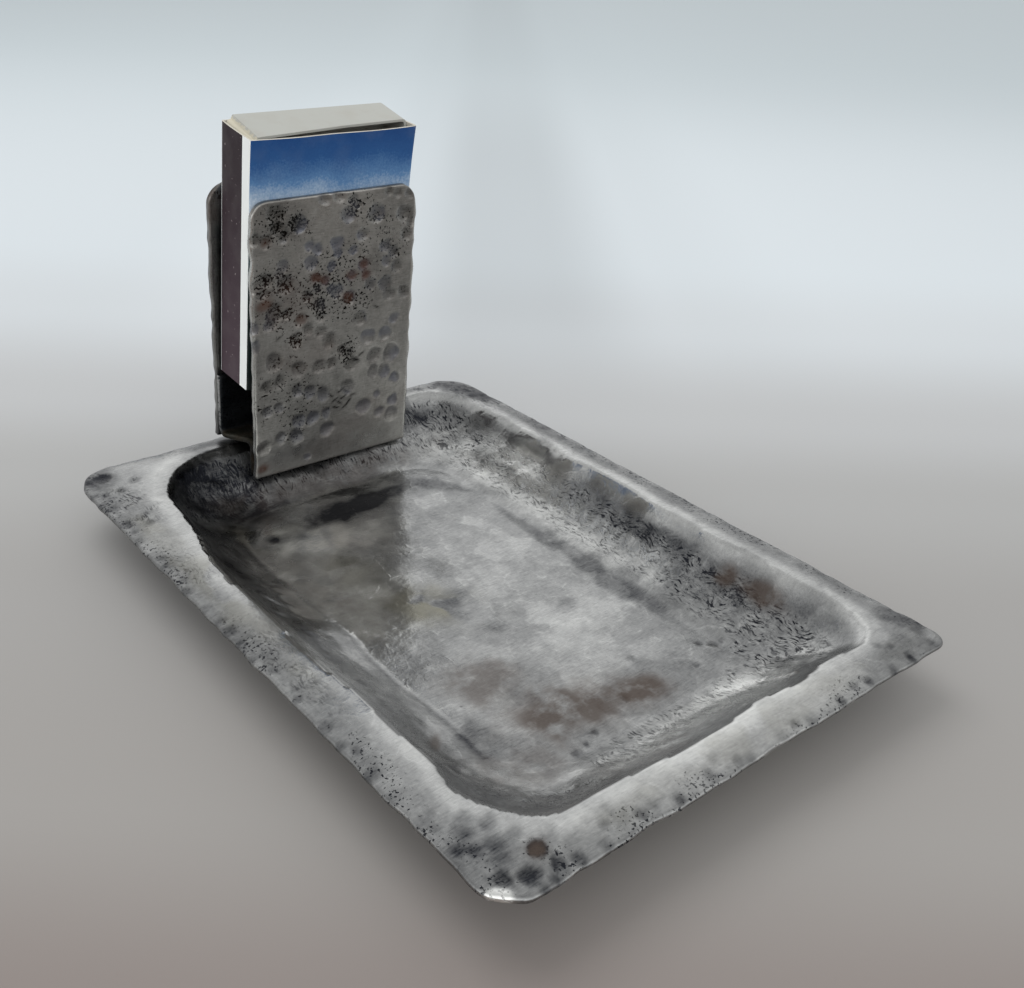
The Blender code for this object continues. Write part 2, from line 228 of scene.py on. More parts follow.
# The wall comes down in three flats, each less steep than the one above it
WALL_RUNS = (0.0, 3.5, 9.0, 14.5)
WALL_DROPS = (0.0, 3.9, 7.9, 9.8)
WALL_EASE = 0.9
TRAY_PITCH = 0.53
TRAY_EDGE_STEPS = (0.0, 0.07, 0.18, 0.33, 0.55, 0.85)
TRAY_EDGE_ROUND = 0.5
EDGE_WAVE = 0.24
EDGE_WAVE_SIZE = 5.0
EDGE_WAVE_REACH = 5.0
EDGE_WAVE_FADE = 4.0
FOOT_SEAT_RISE = 1.9
FOOT_SEAT_PLACE = (4.0, 53.0)
FOOT_SEAT_REACH = (18.0, 22.0)
FOOT_SEAT_LENGTH = 3.6
PUNCH_WANDER = 0.32
MARKS_BELOW = 0.4
SMALLEST_STEP = 1e-3
SWELL_COUNT = 260
NOISE_CELLS = 64
HALVINGS = 20
CREASE_ANGLE = 70


def grid_lines(low, high, pitch, edge_steps):
    """Places of grid lines across a sheet: close together in its rounded edges, else even."""
    steps = np.array(edge_steps)
    count = round((high - low - 2 * steps[-1]) / pitch) + 1
    middle = np.linspace(low + steps[-1], high - steps[-1], count)
    return np.concatenate((low + steps[:-1], middle, (high - steps[:-1])[::-1]))


def by_quarter(right, back, values):
    """Picks for each point the value of its corner: back right, back left, front left, front right."""
    return np.where(back, np.where(right, values[0], values[1]), np.where(right, values[3], values[2]))


def outside_by(x, y, low, high, radii):
    """Distance of points outside a rectangle with four corner radii, negative inside it."""
    middle_x, middle_y = (low[0] + high[0]) / 2, (low[1] + high[1]) / 2
    radius = by_quarter(x > middle_x, y > middle_y, radii)
    over_x = np.abs(x - middle_x) - (high[0] - low[0]) / 2 + radius
    over_y = np.abs(y - middle_y) - (high[1] - low[1]) / 2 + radius
    corner = np.hypot(np.maximum(over_x, 0), np.maximum(over_y, 0))
    return np.minimum(np.maximum(over_x, over_y), 0) + corner - radius


def level_line_distance(x, y, share):
    """Distance outside one level line of the tray: share 0 is its edge, 1 the lip, 2 the floor."""
    rim, wall = np.minimum(share, 1.0), np.maximum(share - 1.0, 0.0)
    run = BOWL_RUN * wall
    low = (-TRAY_HALF_WIDTH + RIM_LEFT * rim + run, -TRAY_HALF_LENGTH + RIM_FRONT * rim + run)
    high = (TRAY_HALF_WIDTH - RIM_RIGHT * rim - run, TRAY_HALF_LENGTH - RIM_BACK * rim - run)
    radii = [
        tray + (bowl - tray) * rim + (floor - bowl) * wall
        for tray, bowl, floor in zip(TRAY_CORNERS, BOWL_CORNERS, FLOOR_CORNERS)
    ]
    far_back = np.maximum(y / TRAY_HALF_LENGTH, 0) ** LIP_DRIFT_POWER
    pull = LIP_DRIFT * rim * (1 - wall) * far_back / (high[0] - low[0])
    return outside_by((x - pull * high[0]) / (1 - pull), y, low, high, radii)


def bowl_share(x, y):
    """The level line that each point lies on, found by halving."""
    near, far = np.zeros_like(x), np.full_like(x, 2.0)
    for _ in range(HALVINGS):
        middle = (near + far) / 2
        inside = level_line_distance(x, y, middle) < 0
        near, far = np.where(inside, middle, near), np.where(inside, far, middle)
    return near


def rounded_corners(x, y, half_width, half_length, radii):
    """Moves the points of a square-cornered grid so that its corners follow arcs."""
    radius = by_quarter(x > 0, y > 0, radii)
    u = np.clip((np.abs(x) - half_width + radius) / radius, 0, 1)
    v = np.clip((np.abs(y) - half_length + radius) / radius, 0, 1)
    both = (u > 0) & (v > 0)
    new_x = np.sign(x) * (half_width - radius + radius * u * np.sqrt(1 - v * v / 2))
    new_y = np.sign(y) * (half_length - radius + radius * v * np.sqrt(1 - u * u / 2))
    return np.where(both, new_x, x), np.where(both, new_y, y)


def ramped(value, low, high):
    """0 where the value is at low, 1 where it is at high, and a straight line between them."""
    return np.clip((value - low) / (high - low), 0, 1)


def around(value, middle, width, strength=1.0):
    """The strength where the value is at the middle, fading out over the width to both sides."""
    return strength * np.exp(-(((value - middle) / width) ** 2))


def soft_noise(x, y, size, seed):
    """Smooth random heights between -1 and 1, with hills about so many millimetres apart."""
    table = np.random.default_rng(seed).uniform(-1, 1, (NOISE_CELLS, NOISE_CELLS))
    column, row = np.floor(x / size).astype(int), np.floor(y / size).astype(int)
    u, v = x / size - column, y / size - row
    u, v = u * u * (3 - 2 * u), v * v * (3 - 2 * v)
    near, right, back, far = (
        table[(column + i) % NOISE_CELLS, (row + j) % NOISE_CELLS]
        for i, j in ((0, 0), (1, 0), (0, 1), (1, 1))
    )
    return (near * (1 - u) + right * u) * (1 - v) + (back * (1 - u) + far * u) * v


def layered_noise(x, y, *layers):
    """Soft noises added up, each a strength, a size and a seed."""
    return sum(strength * soft_noise(x, y, size, seed) for strength, size, seed in layers)


def rounded_edge(edge, radius):
    """How far the surface falls away beside its edge, where that is rounded by the radius."""
    return radius - np.sqrt(np.maximum(radius**2 - np.maximum(radius - edge, 0) ** 2, 0))


def hammer_blows(x, y, blows):
    """Depth left by blows of a round face, each (x, y, radius, depth): the deepest one counts."""
    depth = np.zeros_like(x)
    for blow_x, blow_y, radius, blow_depth in blows:
        away = ((x - blow_x) ** 2 + (y - blow_y) ** 2) / radius**2
        depth = np.maximum(depth, blow_depth * np.clip(1 - away, 0, None))
    return depth


def dimples(x, y, marks):
    """Depth left by a worn round punch, each mark (x, y, radius, depth): its edge is ragged."""
    wander_x, wander_y = soft_noise(x, y, 1.5, 91), soft_noise(x, y, 1.6, 92)
    return hammer_blows(x + PUNCH_WANDER * wander_x, y + PUNCH_WANDER * wander_y, marks)


def turned_places(x, y, spot_x, spot_y, turn):
    """Places measured from a spot, along a direction and square to it."""
    cosine, sine = math.cos(turn), math.sin(turn)
    return (x - spot_x) * cosine + (y - spot_y) * sine, (y - spot_y) * cosine - (x - spot_x) * sine


def swells(x, y, size, height, seed):
    """Soft rises and hollows that a broad hammer leaves, each turned and stretched at random."""
    random = np.random.default_rng(seed)
    total = np.zeros_like(x)
    for _ in range(SWELL_COUNT):
        middle_x = random.uniform(-TRAY_HALF_WIDTH, TRAY_HALF_WIDTH)
        middle_y = random.uniform(-TRAY_HALF_LENGTH, TRAY_HALF_LENGTH)
        turn = random.uniform(0, math.pi)
        width = size * random.uniform(0.6, 1.4)
        length = width * random.uniform(1, 2.4)
        across, along = turned_places(x, y, middle_x, middle_y, turn)
        total += height * random.uniform(-1, 1) * np.exp(-((across / width) ** 2) - (along / length) ** 2)
    return total


def patches(x, y, spots, seed, ragged=0.3):
    """Soft patches, each (x, y, half width, half length, turn in degrees, strength), added up."""
    wander_x = ragged * layered_noise(x, y, (1.0, 4.3, seed), (0.6, 1.7, seed + 1))
    wander_y = ragged * layered_noise(x, y, (1.0, 4.7, seed + 2), (0.6, 1.9, seed + 3))
    shade = np.zeros_like(x)
    for spot_x, spot_y, half_width, half_length, turn, strength in spots:
        across, along = turned_places(x, y, spot_x, spot_y, math.radians(turn))
        across, along = across / half_width + wander_x, along / half_length + wander_y
        shade += strength / (1 + (across**2 + along**2) ** 3)
    return shade


def sheet_piece(name, upper, lower, material, masks, turned=False):
    """A closed piece of sheet from two grids of points, with masks painted on its points. A grid
    that runs the other way round is turned, so that its faces point outwards too."""
    if turned:
        upper, lower = upper[::-1], lower[::-1]
    rows, columns = upper.shape[:2]
    number = np.arange(rows * columns).reshape(rows, columns)
    quads = np.stack((number[:-1, :-1], number[1:, :-1], number[1:, 1:], number[:-1, 1:]), -1).reshape(-1, 4)
    below = quads[:, ::-1] + rows * columns
    rim = np.concatenate((number[:, 0], number[-1, 1:], number[-2::-1, -1], number[0, -2:0:-1]))
    following = np.roll(rim, -1)
    band = np.stack((rim, rim + rows * columns, following + rows * columns, following), -1)
    points = np.concatenate((upper.reshape(-1, 3), lower.reshape(-1, 3)))
    piece = new_piece(name, points, np.concatenate((quads, below, band)), material)
    for mask, values in masks.items():
        values = np.broadcast_to(values, (rows, columns))
        values = values[::-1] if turned else values
        layer = piece.data.attributes.new(mask, "FLOAT", "POINT")
        layer.data.foreach_set("value", np.tile(values.reshape(-1), 2).astype(np.float32))
    piece.data.set_sharp_from_angle(angle=math.radians(CREASE_ANGLE))
    return piece


CORNER_DIMPLES = (
    (-42.7, 62.3, 2.0, 0.40), (-38.4, 57.5, 1.4, 0.22), (-45.0, 55.2, 1.1, 0.25), (-41.9, 55.0, 1.2, 0.22),
    (-46.3, 42.6, 1.3, 0.30), (-43.3, 43.2, 1.2, 0.18), (-41.6, 44.0, 1.0, 0.15), (-43.0, 40.4, 1.3, 0.18),
    (-43.4, -54.3, 1.89, 0.11), (-41.6, -52.5, 1.58, 0.09), (-40.0, -55.0, 1.68, 0.12),
    (-43.9, -57.6, 1.68, 0.10), (-41.2, -58.0, 1.89, 0.11), (-38.4, -58.3, 1.58, 0.09),
    (-44.3, -62.8, 1.78, 0.19), (-41.0, -64.3, 1.89, 0.20), (-36.7, -65.3, 1.68, 0.19),
    (-37.6, -62.0, 1.58, 0.14), (-42.6, -60.6, 1.99, 0.08), (-35.0, -61.0, 1.68, 0.07),
    (-28.0, -64.0, 1.05, 0.08), (-26.0, -63.0, 0.84, 0.07), (-25.6, -61.8, 0.95, 0.06),
    (-29.6, -62.0, 0.95, 0.06), (-44.7, -49.0, 0.95, 0.08), (-7.0, -64.0, 1.26, 0.06),
    (35.0, -61.4, 1.05, 0.08), (36.8, -62.7, 0.84, 0.08), (40.0, -62.0, 1.05, 0.10),
    (44.8, -63.2, 1.78, 0.23), (42.6, -57.6, 1.26, 0.14), (44.2, -58.2, 1.05, 0.14),
    (45.4, -59.2, 1.37, 0.17), (43.4, -60.3, 0.95, 0.10), (44.8, 14.4, 1.0, 0.16), (44.5, -19.0, 0.9, 0.12),
    (42.2, -17.6, 0.9, 0.10), (41.0, 26.0, 1.2, 0.10), (35.0, 63.6, 1.3, 0.20), (38.0, 62.6, 1.3, 0.24),
    (40.6, 64.2, 1.3, 0.26), (42.2, 61.6, 1.5, 0.30), (44.6, 63.2, 1.3, 0.30), (45.4, 59.6, 1.2, 0.26),
    (41.4, 58.2, 1.2, 0.20), (43.8, 56.6, 1.3, 0.26), (42.6, 53.2, 1.1, 0.20), (45.2, 52.4, 1.2, 0.26),
    (43.6, 49.4, 1.1, 0.18), (45.6, 46.0, 1.2, 0.24),
)
BOWL_DIMPLES = (
    (-20.0, 36.0, 1.5, 0.16), (-2.0, -11.0, 2.6, 0.03), (12.6, -14.0, 2.4, 0.02), (-38.0, -36.6, 1.0, 0.2),
    (-33.0, -39.5, 1.2, 0.25), (-8.0, -42.0, 0.9, 0.2), (-11.0, -43.5, 0.9, 0.2), (-13.6, -44.6, 1.1, 0.2),
    (2.0, -39.0, 1.0, 0.2), (10.0, -32.3, 0.8, 0.2), (23.0, -36.0, 1.0, 0.2), (25.0, -37.4, 1.0, 0.2),
    (26.6, -37.8, 0.8, 0.2), (18.0, -40.0, 0.8, 0.15), (-21.3, -26.0, 0.8, 0.08),
)
EDGE_DIMPLE_SPACING = 4.6
EDGE_DIMPLE_SIDES = ((-1, 0, 128), (0, -1, 88), (1, 0, 128), (0, 1, 88))
EDGE_DIMPLE_SLIP = 3.6
EDGE_DIMPLE_INSETS = (0.3, 1.9)
EDGE_DIMPLE_SIZES = (1.0, 1.7)
EDGE_DIMPLE_DEPTHS = (0.07, 0.19)

# Blows of the planishing hammer, each kind (spread, radius, depth), and how much they vary
BLOW_KINDS = ((6.0, 4.6, 0.085), (4.6, 3.0, 0.04))
BLOW_SCATTER = 0.45
BLOW_SIZES = (0.8, 1.25)
BLOW_FORCES = (0.4, 1.2)

# Swells, each kind (size, height, seed), and the wall's roughness in layers (height, size, seed)
BOWL_SWELLS = (4.2, 0.30, 3)
RIM_SWELLS = (3.4, 0.09, 4)
WALL_ROUGHNESS = ((0.16, 1.9, 5), (0.08, 1.1, 6))
WALL_TOP = (1.0, 1.3)
SLOPE_TOP = (1.22, 1.28)
SLOPE_FOOT = (1.72, 1.60)

grid_x, grid_y = np.meshgrid(
    grid_lines(-TRAY_HALF_WIDTH, TRAY_HALF_WIDTH, TRAY_PITCH, TRAY_EDGE_STEPS),
    grid_lines(-TRAY_HALF_LENGTH, TRAY_HALF_LENGTH, TRAY_PITCH, TRAY_EDGE_STEPS),
    indexing="ij",
)
tray_x, tray_y = rounded_corners(grid_x, grid_y, TRAY_HALF_WIDTH, TRAY_HALF_LENGTH, TRAY_CORNERS)
edge = -level_line_distance(tray_x, tray_y, np.zeros_like(tray_x))
lip_waver = LIP_WAVER * ramped(edge, *LIP_WAVER_START)
share = bowl_share(
    tray_x + lip_waver * soft_noise(tray_x, tray_y, LIP_WAVER_SIZES[0], 1),
    tray_y + lip_waver * soft_noise(tray_x, tray_y, LIP_WAVER_SIZES[1], 2),
)
rim_share, wall_share = np.minimum(share, 1.0), np.maximum(share - 1.0, 0.0)
wall_place = wall_share * BOWL_RUN
shifts = (-WALL_EASE, 0.0, WALL_EASE)
down = sum(np.interp(wall_place + shift, WALL_RUNS, WALL_DROPS) for shift in shifts) / len(shifts)
down[wall_share <= 0] = 0
smooth_height = RIM_HEIGHT + RIM_RISE * np.sin(math.pi / 2 * rim_share) - down
under_holder = 1 - ramped(np.abs(tray_x - FOOT_SEAT_PLACE[0]), *FOOT_SEAT_REACH)
foot_seat = around(tray_y, FOOT_SEAT_PLACE[1], FOOT_SEAT_LENGTH)
smooth_height += FOOT_SEAT_RISE * wall_share * under_holder * foot_seat

random = np.random.default_rng(7)
blows = []
for spread, radius, depth in BLOW_KINDS:
    for blow_x in np.arange(-TRAY_HALF_WIDTH, TRAY_HALF_WIDTH + spread, spread):
        for blow_y in np.arange(-TRAY_HALF_LENGTH, TRAY_HALF_LENGTH + spread, spread):
            shift_x, shift_y = random.uniform(-BLOW_SCATTER, BLOW_SCATTER, 2) * spread
            size, force = random.uniform(*BLOW_SIZES), random.uniform(*BLOW_FORCES)
            blows.append((blow_x + shift_x, blow_y + shift_y, radius * size, depth * force))
edge_dimples = []
for side_x, side_y, length in EDGE_DIMPLE_SIDES:
    for place in np.arange(-length / 2, length / 2, EDGE_DIMPLE_SPACING):
        place += random.uniform(0.0, EDGE_DIMPLE_SLIP)
        inset = random.uniform(*EDGE_DIMPLE_INSETS)
        mark_x = side_x * (TRAY_HALF_WIDTH - inset) if side_x else place
        mark_y = side_y * (TRAY_HALF_LENGTH - inset) if side_y else place
        radius, depth = random.uniform(*EDGE_DIMPLE_SIZES), random.uniform(*EDGE_DIMPLE_DEPTHS)
        edge_dimples.append((mark_x, mark_y, radius, depth))
tray_dimples = dimples(tray_x, tray_y, (*CORNER_DIMPLES, *BOWL_DIMPLES, *edge_dimples))
in_bowl = ramped(share, *WALL_TOP)
on_slope = ramped(share, *SLOPE_TOP) * ramped(share, *SLOPE_FOOT)
marks = hammer_blows(tray_x, tray_y, blows) * (1 - 0.5 * in_bowl) + tray_dimples
marks += swells(tray_x, tray_y, *BOWL_SWELLS) * in_bowl
marks += swells(tray_x, tray_y, *RIM_SWELLS) * (1 - in_bowl)
marks += on_slope * layered_noise(tray_x, tray_y, *WALL_ROUGHNESS)
edge_fall = rounded_edge(edge, TRAY_EDGE_ROUND)
slope_x = np.gradient(smooth_height, axis=0) / np.maximum(np.gradient(tray_x, axis=0), SMALLEST_STEP)
slope_y = np.gradient(smooth_height, axis=1) / np.maximum(np.gradient(tray_y, axis=1), SMALLEST_STEP)
tilt = np.sqrt(1 + slope_x**2 + slope_y**2)
wave = EDGE_WAVE * soft_noise(tray_x + tray_y, tray_x - tray_y, EDGE_WAVE_SIZE, 5)
wave *= ramped(edge, EDGE_WAVE_FADE, 0)
outer_x = tray_x + wave * np.sign(tray_x) * (np.abs(tray_x) > TRAY_HALF_WIDTH - EDGE_WAVE_REACH)
outer_y = tray_y + wave * np.sign(tray_y) * (np.abs(tray_y) > TRAY_HALF_LENGTH - EDGE_WAVE_REACH)
upper = np.stack((outer_x, outer_y, smooth_height - marks - edge_fall), -1)
lower_z = np.maximum(smooth_height - SHEET / tilt - MARKS_BELOW * marks + edge_fall, 0.0)
lower = np.stack((outer_x + SHEET * slope_x / tilt, outer_y + SHEET * slope_y / tilt, lower_z), -1)

# Tone of the iron, from what shows on the real one: above 0 is lighter and below 0 darker. Some
# patches are polish and scale, and many are painted reflection, shade and highlight: the dark band
# in front of the holder, the dark back-left corner and left wall, and the bright floor patches
BOWL_TONES_AND_PAINTED_LIGHT = (
    (-34.5, 36.0, 3.6, 20.0, -8, -0.20), (-34.5, 10.0, 3.0, 20.0, 0, -0.30),
    (-27.0, 52.0, 6.0, 4.0, 20, -0.40), (0.0, 51.0, 24.0, 3.0, 0, -0.12), (1.0, 38.8, 12.0, 3.4, 4, -0.62),
    (-20.0, 36.0, 1.8, 1.6, 0, -0.4), (35.4, -36.0, 2.2, 8.0, 0, -0.10), (31.2, 12.0, 3.4, 32.0, 0, 0.34),
    (31.0, -26.0, 2.6, 7.0, 0, -0.06), (12.0, -14.0, 2.5, 2.0, 0, -0.12), (-2.0, -11.0, 2.4, 2.0, 0, -0.16),
    (-20.0, -12.0, 6.0, 5.0, 0, -0.02), (-9.0, 1.0, 6.0, 7.0, 30, -0.28), (10.0, 3.0, 11.0, 20.0, 0, 0.05),
    (12.0, -22.0, 10.0, 9.0, 0, 0.06), (-10.0, 30.0, 9.0, 5.0, 0, 0.50), (-20.0, 14.0, 9.0, 18.0, 0, 0.60),
    (-34.0, -30.0, 4.0, 22.0, 0, -0.12), (4.0, -53.0, 24.0, 5.0, 0, 0.50),
    (-22.0, -53.0, 8.0, 5.0, 0, -0.10), (34.0, 54.0, 6.0, 3.0, -40, -0.20), (22.0, 50.0, 6.0, 6.0, 0, 0.04),
    (27.5, 57.0, 5.0, 3.0, 0, -0.30), (18.0, -40.0, 8.0, 5.0, 0, -0.08), (-6.0, -44.0, 16.0, 3.0, 0, -0.06),
    (-25.0, -34.0, 5.0, 8.0, 20, -0.10), (16.0, -53.0, 10.0, 5.0, 0, 0.16), (31.0, 40.0, 4.0, 8.0, 0, 0.14),
    (19.0, 38.0, 1.8, 10.0, 37, -0.22), (-19.0, 50.0, 8.0, 5.0, 0, -0.30),
    (-21.5, 53.5, 7.0, 4.0, 0, -0.30), (-19.5, 56.5, 7.0, 3.5, 0, -0.45),
    (-24.5, 26.0, 5.0, 14.0, 0, -0.16), (-33.0, -4.0, 4.0, 12.0, 0, -0.04),
)
# Besides its own marks, the rim gets painted shade by the holder and a painted highlight on the near
# corner's tip
RIM_TONES_AND_PAINTED_LIGHT = (
    (-17.5, 62.0, 5.5, 4.0, 0, -0.42), (-45.5, 10.0, 1.6, 50.0, 0, -0.10),
    (-42.0, -58.0, 6.0, 7.0, -40, -0.08), (43.0, -59.0, 5.0, 6.0, 0, -0.10),
    (43.0, 58.0, 5.0, 8.0, 20, -0.52), (-43.5, 61.5, 3.0, 4.0, 0, -0.28),
    (44.5, -20.0, 2.6, 36.0, 0, -0.14), (44.5, 30.0, 2.6, 14.0, 0, -0.20),
    (36.0, -62.0, 10.0, 3.0, 10, -0.14), (0.0, -62.5, 24.0, 4.0, 0, 0.30),
    (-46.0, -64.6, 1.6, 1.2, -45, 1.6), (-37.6, -62.0, 1.1, 1.0, 0, -0.5), (-32.0, 63.0, 8.0, 3.0, 0, 0.06),
    (30.0, 64.0, 6.0, 3.0, 0, -0.10),
)
RIM_STROKES = (
    (-42.5, 49.0, 3.5, 8.0, 0, 0.7), (-43.5, 22.0, 2.6, 9.0, 0, 0.4), (-44.0, -14.0, 2.4, 12.0, 0, 0.4),
    (43.5, 54.0, 4.0, 10.0, 0, 0.8), (32.0, 63.5, 8.0, 2.4, 0, 0.7), (44.0, 16.0, 2.4, 22.0, 0, 0.3),
)

# The rim's crest and the right-hand lip are painted bright, as a painted highlight along them, and
# the dimples are painted darker: each line (middle, width, strength)
PLAIN_TONE = 0.5
CREST = (0.83, 0.19, 0.24)
CREST_RIGHT = 0.95
LIP_LIGHT = (1.02, 0.08, 0.24)
CUP_DEPTH = 0.14
CUP_SHADES = {"right rim": 0.11, "front rim": 0.36, "elsewhere": 0.22}
RIGHT_WALL = 30.0
RIGHT_RIM = 38.0
FRONT_RIM = -48.0

# Painted shade: dark lines follow the foot of the left wall, the foot of the right one and the top of
# the near one
LEFT_FOOT_LINE = (1.93, 0.05, -0.25)
LEFT_FOOT_PLACE = (-10.0, -38.0)
RIGHT_FOOT_PLACE = (24.8, -4.0)
RIGHT_FOOT_WIDTH = 2.6
RIGHT_FOOT_TAPER = 0.03
RIGHT_FOOT_LENGTH = 29.0
RIGHT_FOOT_WANDER = ((1.1, 6.0, 99), (0.5, 2.0, 95))
RIGHT_FOOT_TONE = -0.25
NEAR_WALL_LINE = (1.14, 0.20, -0.22)
NEAR_WALL_START = (-40.0, -46.0)

# The right wall's upper flat is planished smooth; it is painted a little darker, with a painted
# highlight at the back and painted shade at the middle
FACET_WANDER = ((0.03, 5.0, 97), (0.02, 1.6, 98))
FACET_TOP = (1.14, 1.18)
FACET_FOOT = (1.44, 1.41)
FACET_NEAR_END = (-40.0, -34.0)
FACET_FAR_END = (50.0, 42.0)
FACET_TONE = -0.10
FACET_PAINTED_HIGHLIGHT = (28.0, 13.0, 0.60)
FACET_PAINTED_SHADE = (-10.0, 8.0, -0.30)

# Rust and tarnish lie here and there in the bowl, and one deep pit near the front left corner
RUST_PATCHES = (
    (-15.0, -22.0, 6.5, 5.5, 20, 0.6), (-7.5, -36.0, 10.0, 5.0, -8, 0.9), (6.0, -39.0, 4.6, 3.6, 0, 0.9),
    (36.4, -29.6, 1.4, 2.2, 0, 0.9), (36.4, -38.2, 1.5, 4.6, 0, 0.9), (-37.6, -62.0, 1.15, 1.05, 0, 1.5),
    (-31.5, -32.5, 0.8, 3.0, -40, 0.7), (0.0, 50.0, 22.0, 3.0, 0, 0.45), (-25.0, 24.0, 5.0, 14.0, 0, 0.36),
    (-22.0, 44.0, 8.0, 3.0, 0, 0.3), (-24.0, -42.0, 9.0, 4.0, -20, 0.35),
)
TARNISH_PATCHES = (
    (-9.0, 1.0, 6.0, 7.0, 30, 0.8), (-14.0, 18.0, 5.0, 7.0, 0, 0.4), (-43.0, 20.0, 2.5, 30.0, 0, 0.30),
    (0.0, -63.0, 30.0, 2.5, 0, 0.22), (-20.0, 40.0, 6.0, 6.0, 0, 0.5),
)
CORNER_PIT = ((-37.6, -62.0, 1.3, 1.2, 0, 0.9),)

crest = around(share, *CREST) * np.where(tray_x > 34, CREST_RIGHT, 1.0)
cup_shade = np.where(tray_y < FRONT_RIM, CUP_SHADES["front rim"], CUP_SHADES["elsewhere"])
cup_shade = np.where(tray_x > RIGHT_RIM, CUP_SHADES["right rim"], cup_shade)
tray_tone = PLAIN_TONE + crest - cup_shade * np.clip(tray_dimples / CUP_DEPTH, 0, 1)
tray_tone += patches(tray_x, tray_y, BOWL_TONES_AND_PAINTED_LIGHT, 11) * ramped(share, 0.98, 1.04)
tray_tone += patches(tray_x, tray_y, RIM_TONES_AND_PAINTED_LIGHT, 12) * ramped(share, 1.05, 0.95)
tray_tone += around(share, *LIP_LIGHT) * (tray_x > RIGHT_WALL)

left_foot = (tray_x < LEFT_FOOT_PLACE[0]) & (tray_y > LEFT_FOOT_PLACE[1])
tray_tone += around(share, *LEFT_FOOT_LINE) * left_foot
foot_x = tray_x - RIGHT_FOOT_PLACE[0] + layered_noise(tray_x, tray_y, *RIGHT_FOOT_WANDER)
foot_x /= RIGHT_FOOT_WIDTH - RIGHT_FOOT_TAPER * tray_y
foot_y = (tray_y - RIGHT_FOOT_PLACE[1]) / RIGHT_FOOT_LENGTH
tray_tone += RIGHT_FOOT_TONE * np.clip(1.6 * (1.0 - foot_x**2 - foot_y**2), 0, 1)
tray_tone += around(share, *NEAR_WALL_LINE) * ramped(tray_y, *NEAR_WALL_START) * (share > 1.0)

ragged_share = share + layered_noise(tray_x, tray_y, *FACET_WANDER)
facet = ramped(ragged_share, *FACET_TOP) * ramped(ragged_share, *FACET_FOOT) * (tray_x > RIGHT_WALL)
facet *= ramped(tray_y, *FACET_NEAR_END) * ramped(tray_y, *FACET_FAR_END)
tray_tone += facet * (FACET_TONE + around(tray_y, *FACET_PAINTED_HIGHLIGHT) + around(tray_y, *FACET_PAINTED_SHADE))

# Chisel-like strokes lie on the near, back and right walls, and here and there on the rim
near_wall = ramped(share, 1.3, 1.5) * ramped(share, 2.0, 1.9) * (tray_y < -40) * (tray_x > -14)
back_wall = ramped(tray_y, 42, 45) * ramped(share, 1.9, 1.6) * (share > 1.1)
right_wall = ramped(tray_x, 24, 27) * ramped(share, 1.2, 1.3) * ramped(share, 1.9, 1.7)
on_rim = np.clip(patches(tray_x, tray_y, RIM_STROKES, 17), 0, 1) * (share < 0.95)
hatched = 0.8 * near_wall + back_wall + 0.9 * right_wall + 0.35 * facet + on_rim

# Pits and crinkles, where the iron was left rough
in_dimples = np.clip(tray_dimples / 0.35, 0, 1) * (tray_y > -30)
along_edge = ramped(edge, 4.8, 0.8) * np.clip(soft_noise(tray_x, tray_y, 4.0, 93) + 0.2, 0, 1)
pits = 0.3 * in_dimples + 0.5 * along_edge + patches(tray_x, tray_y, CORNER_PIT, 16)
on_floor = ramped(share, 1.9, 2.0)
rough_walls = on_slope * ((tray_x > 18) | (tray_y < -46))
crinkles = 0.02 + 0.05 * on_floor + 0.45 * rough_walls
tray_masks = {
    "tone": np.clip(tray_tone, 0, 1.4),
    "mottle": 0.85 + 0.15 * in_bowl,
    "rust": np.clip(patches(tray_x, tray_y, RUST_PATCHES, 15), 0, 1),
    "tarnish": np.clip(patches(tray_x, tray_y, TARNISH_PATCHES, 19), 0, 1),
    "pits": np.clip(pits, 0, 1),
    "crinkles": np.clip(crinkles, 0, 1),
    "hatching": np.clip(hatched, 0, 1),
}

IRON_COLOURS = ("Scale and shade", "Plain", "Polish and highlight", "Rust", "Tarnish")
IRON_MASKS = {
    "tone": "Tone", "rust": "Rusted", "tarnish": "Tarnished", "pits": "Pitted", "crinkles": "Crinkled",
    "hatching": "Hatched", "mottle": "Mottle",
}
IRON_GRAIN = 0.55
FLAT_SCALE = 115.0
FLAT_SOFTNESS = 0.55
SCRATCH_STRETCH = (520.0, 3600.0, 3600.0)
STROKE_STRETCH = (2700.0, 700.0, 700.0)
VEIN_STRETCH = (1.0, 0.42, 1.0)


def new_group(name, inputs, outputs):
    """A node group with its sockets, and the values that it is given."""
    group = bpy.data.node_groups.new(name, "ShaderNodeTree")
    for way, sockets in (("INPUT", inputs), ("OUTPUT", outputs)):
        for socket, kind in sockets.items():
            group.interface.new_socket(socket, in_out=way, socket_type=f"NodeSocket{kind}")
    return group, group.nodes.new("NodeGroupInput").outputs


def add_math(tree, operation, *values):
    """The result of one sum on values and other nodes' outputs."""
    return add_node(tree, "ShaderNodeMath", dict(enumerate(values)), operation=operation).outputs[0]


def add_noise(tree, place, scale, detail, stretch=None, roughness=0.5, output="Fac"):
    """Soft random values over a piece, with their grain packed closer where a stretch is given."""
    if stretch:
        place = add_node(tree, "ShaderNodeMapping", {"Vector": place, "Scale": stretch}).outputs["Vector"]
    values = {"Vector": place, "Scale": scale, "Detail": detail, "Roughness": roughness}
    return add_node(tree, "ShaderNodeTexNoise", values).outputs[output]


def add_bend(tree, place, scale, detail, reach):
    """The place pushed about by soft noise, so that what is drawn on it isn't straight."""
    values = {0: add_noise(tree, place, scale, detail, output="Color"), 1: (reach,) * 3, 2: place}
    return add_node(tree, "ShaderNodeVectorMath", values, operation="MULTIPLY_ADD").outputs["Vector"]


def add_relief(tree, shader, height, depth):
    """Fine relief on a shader: its height is multiplied by a depth in millimetres."""
    bump = add_node(tree, "ShaderNodeBump", {"Height": height, "Distance": depth * MM, "Strength": 1.0})
    tree.links.new(bump.outputs["Normal"], shader.inputs["Normal"])


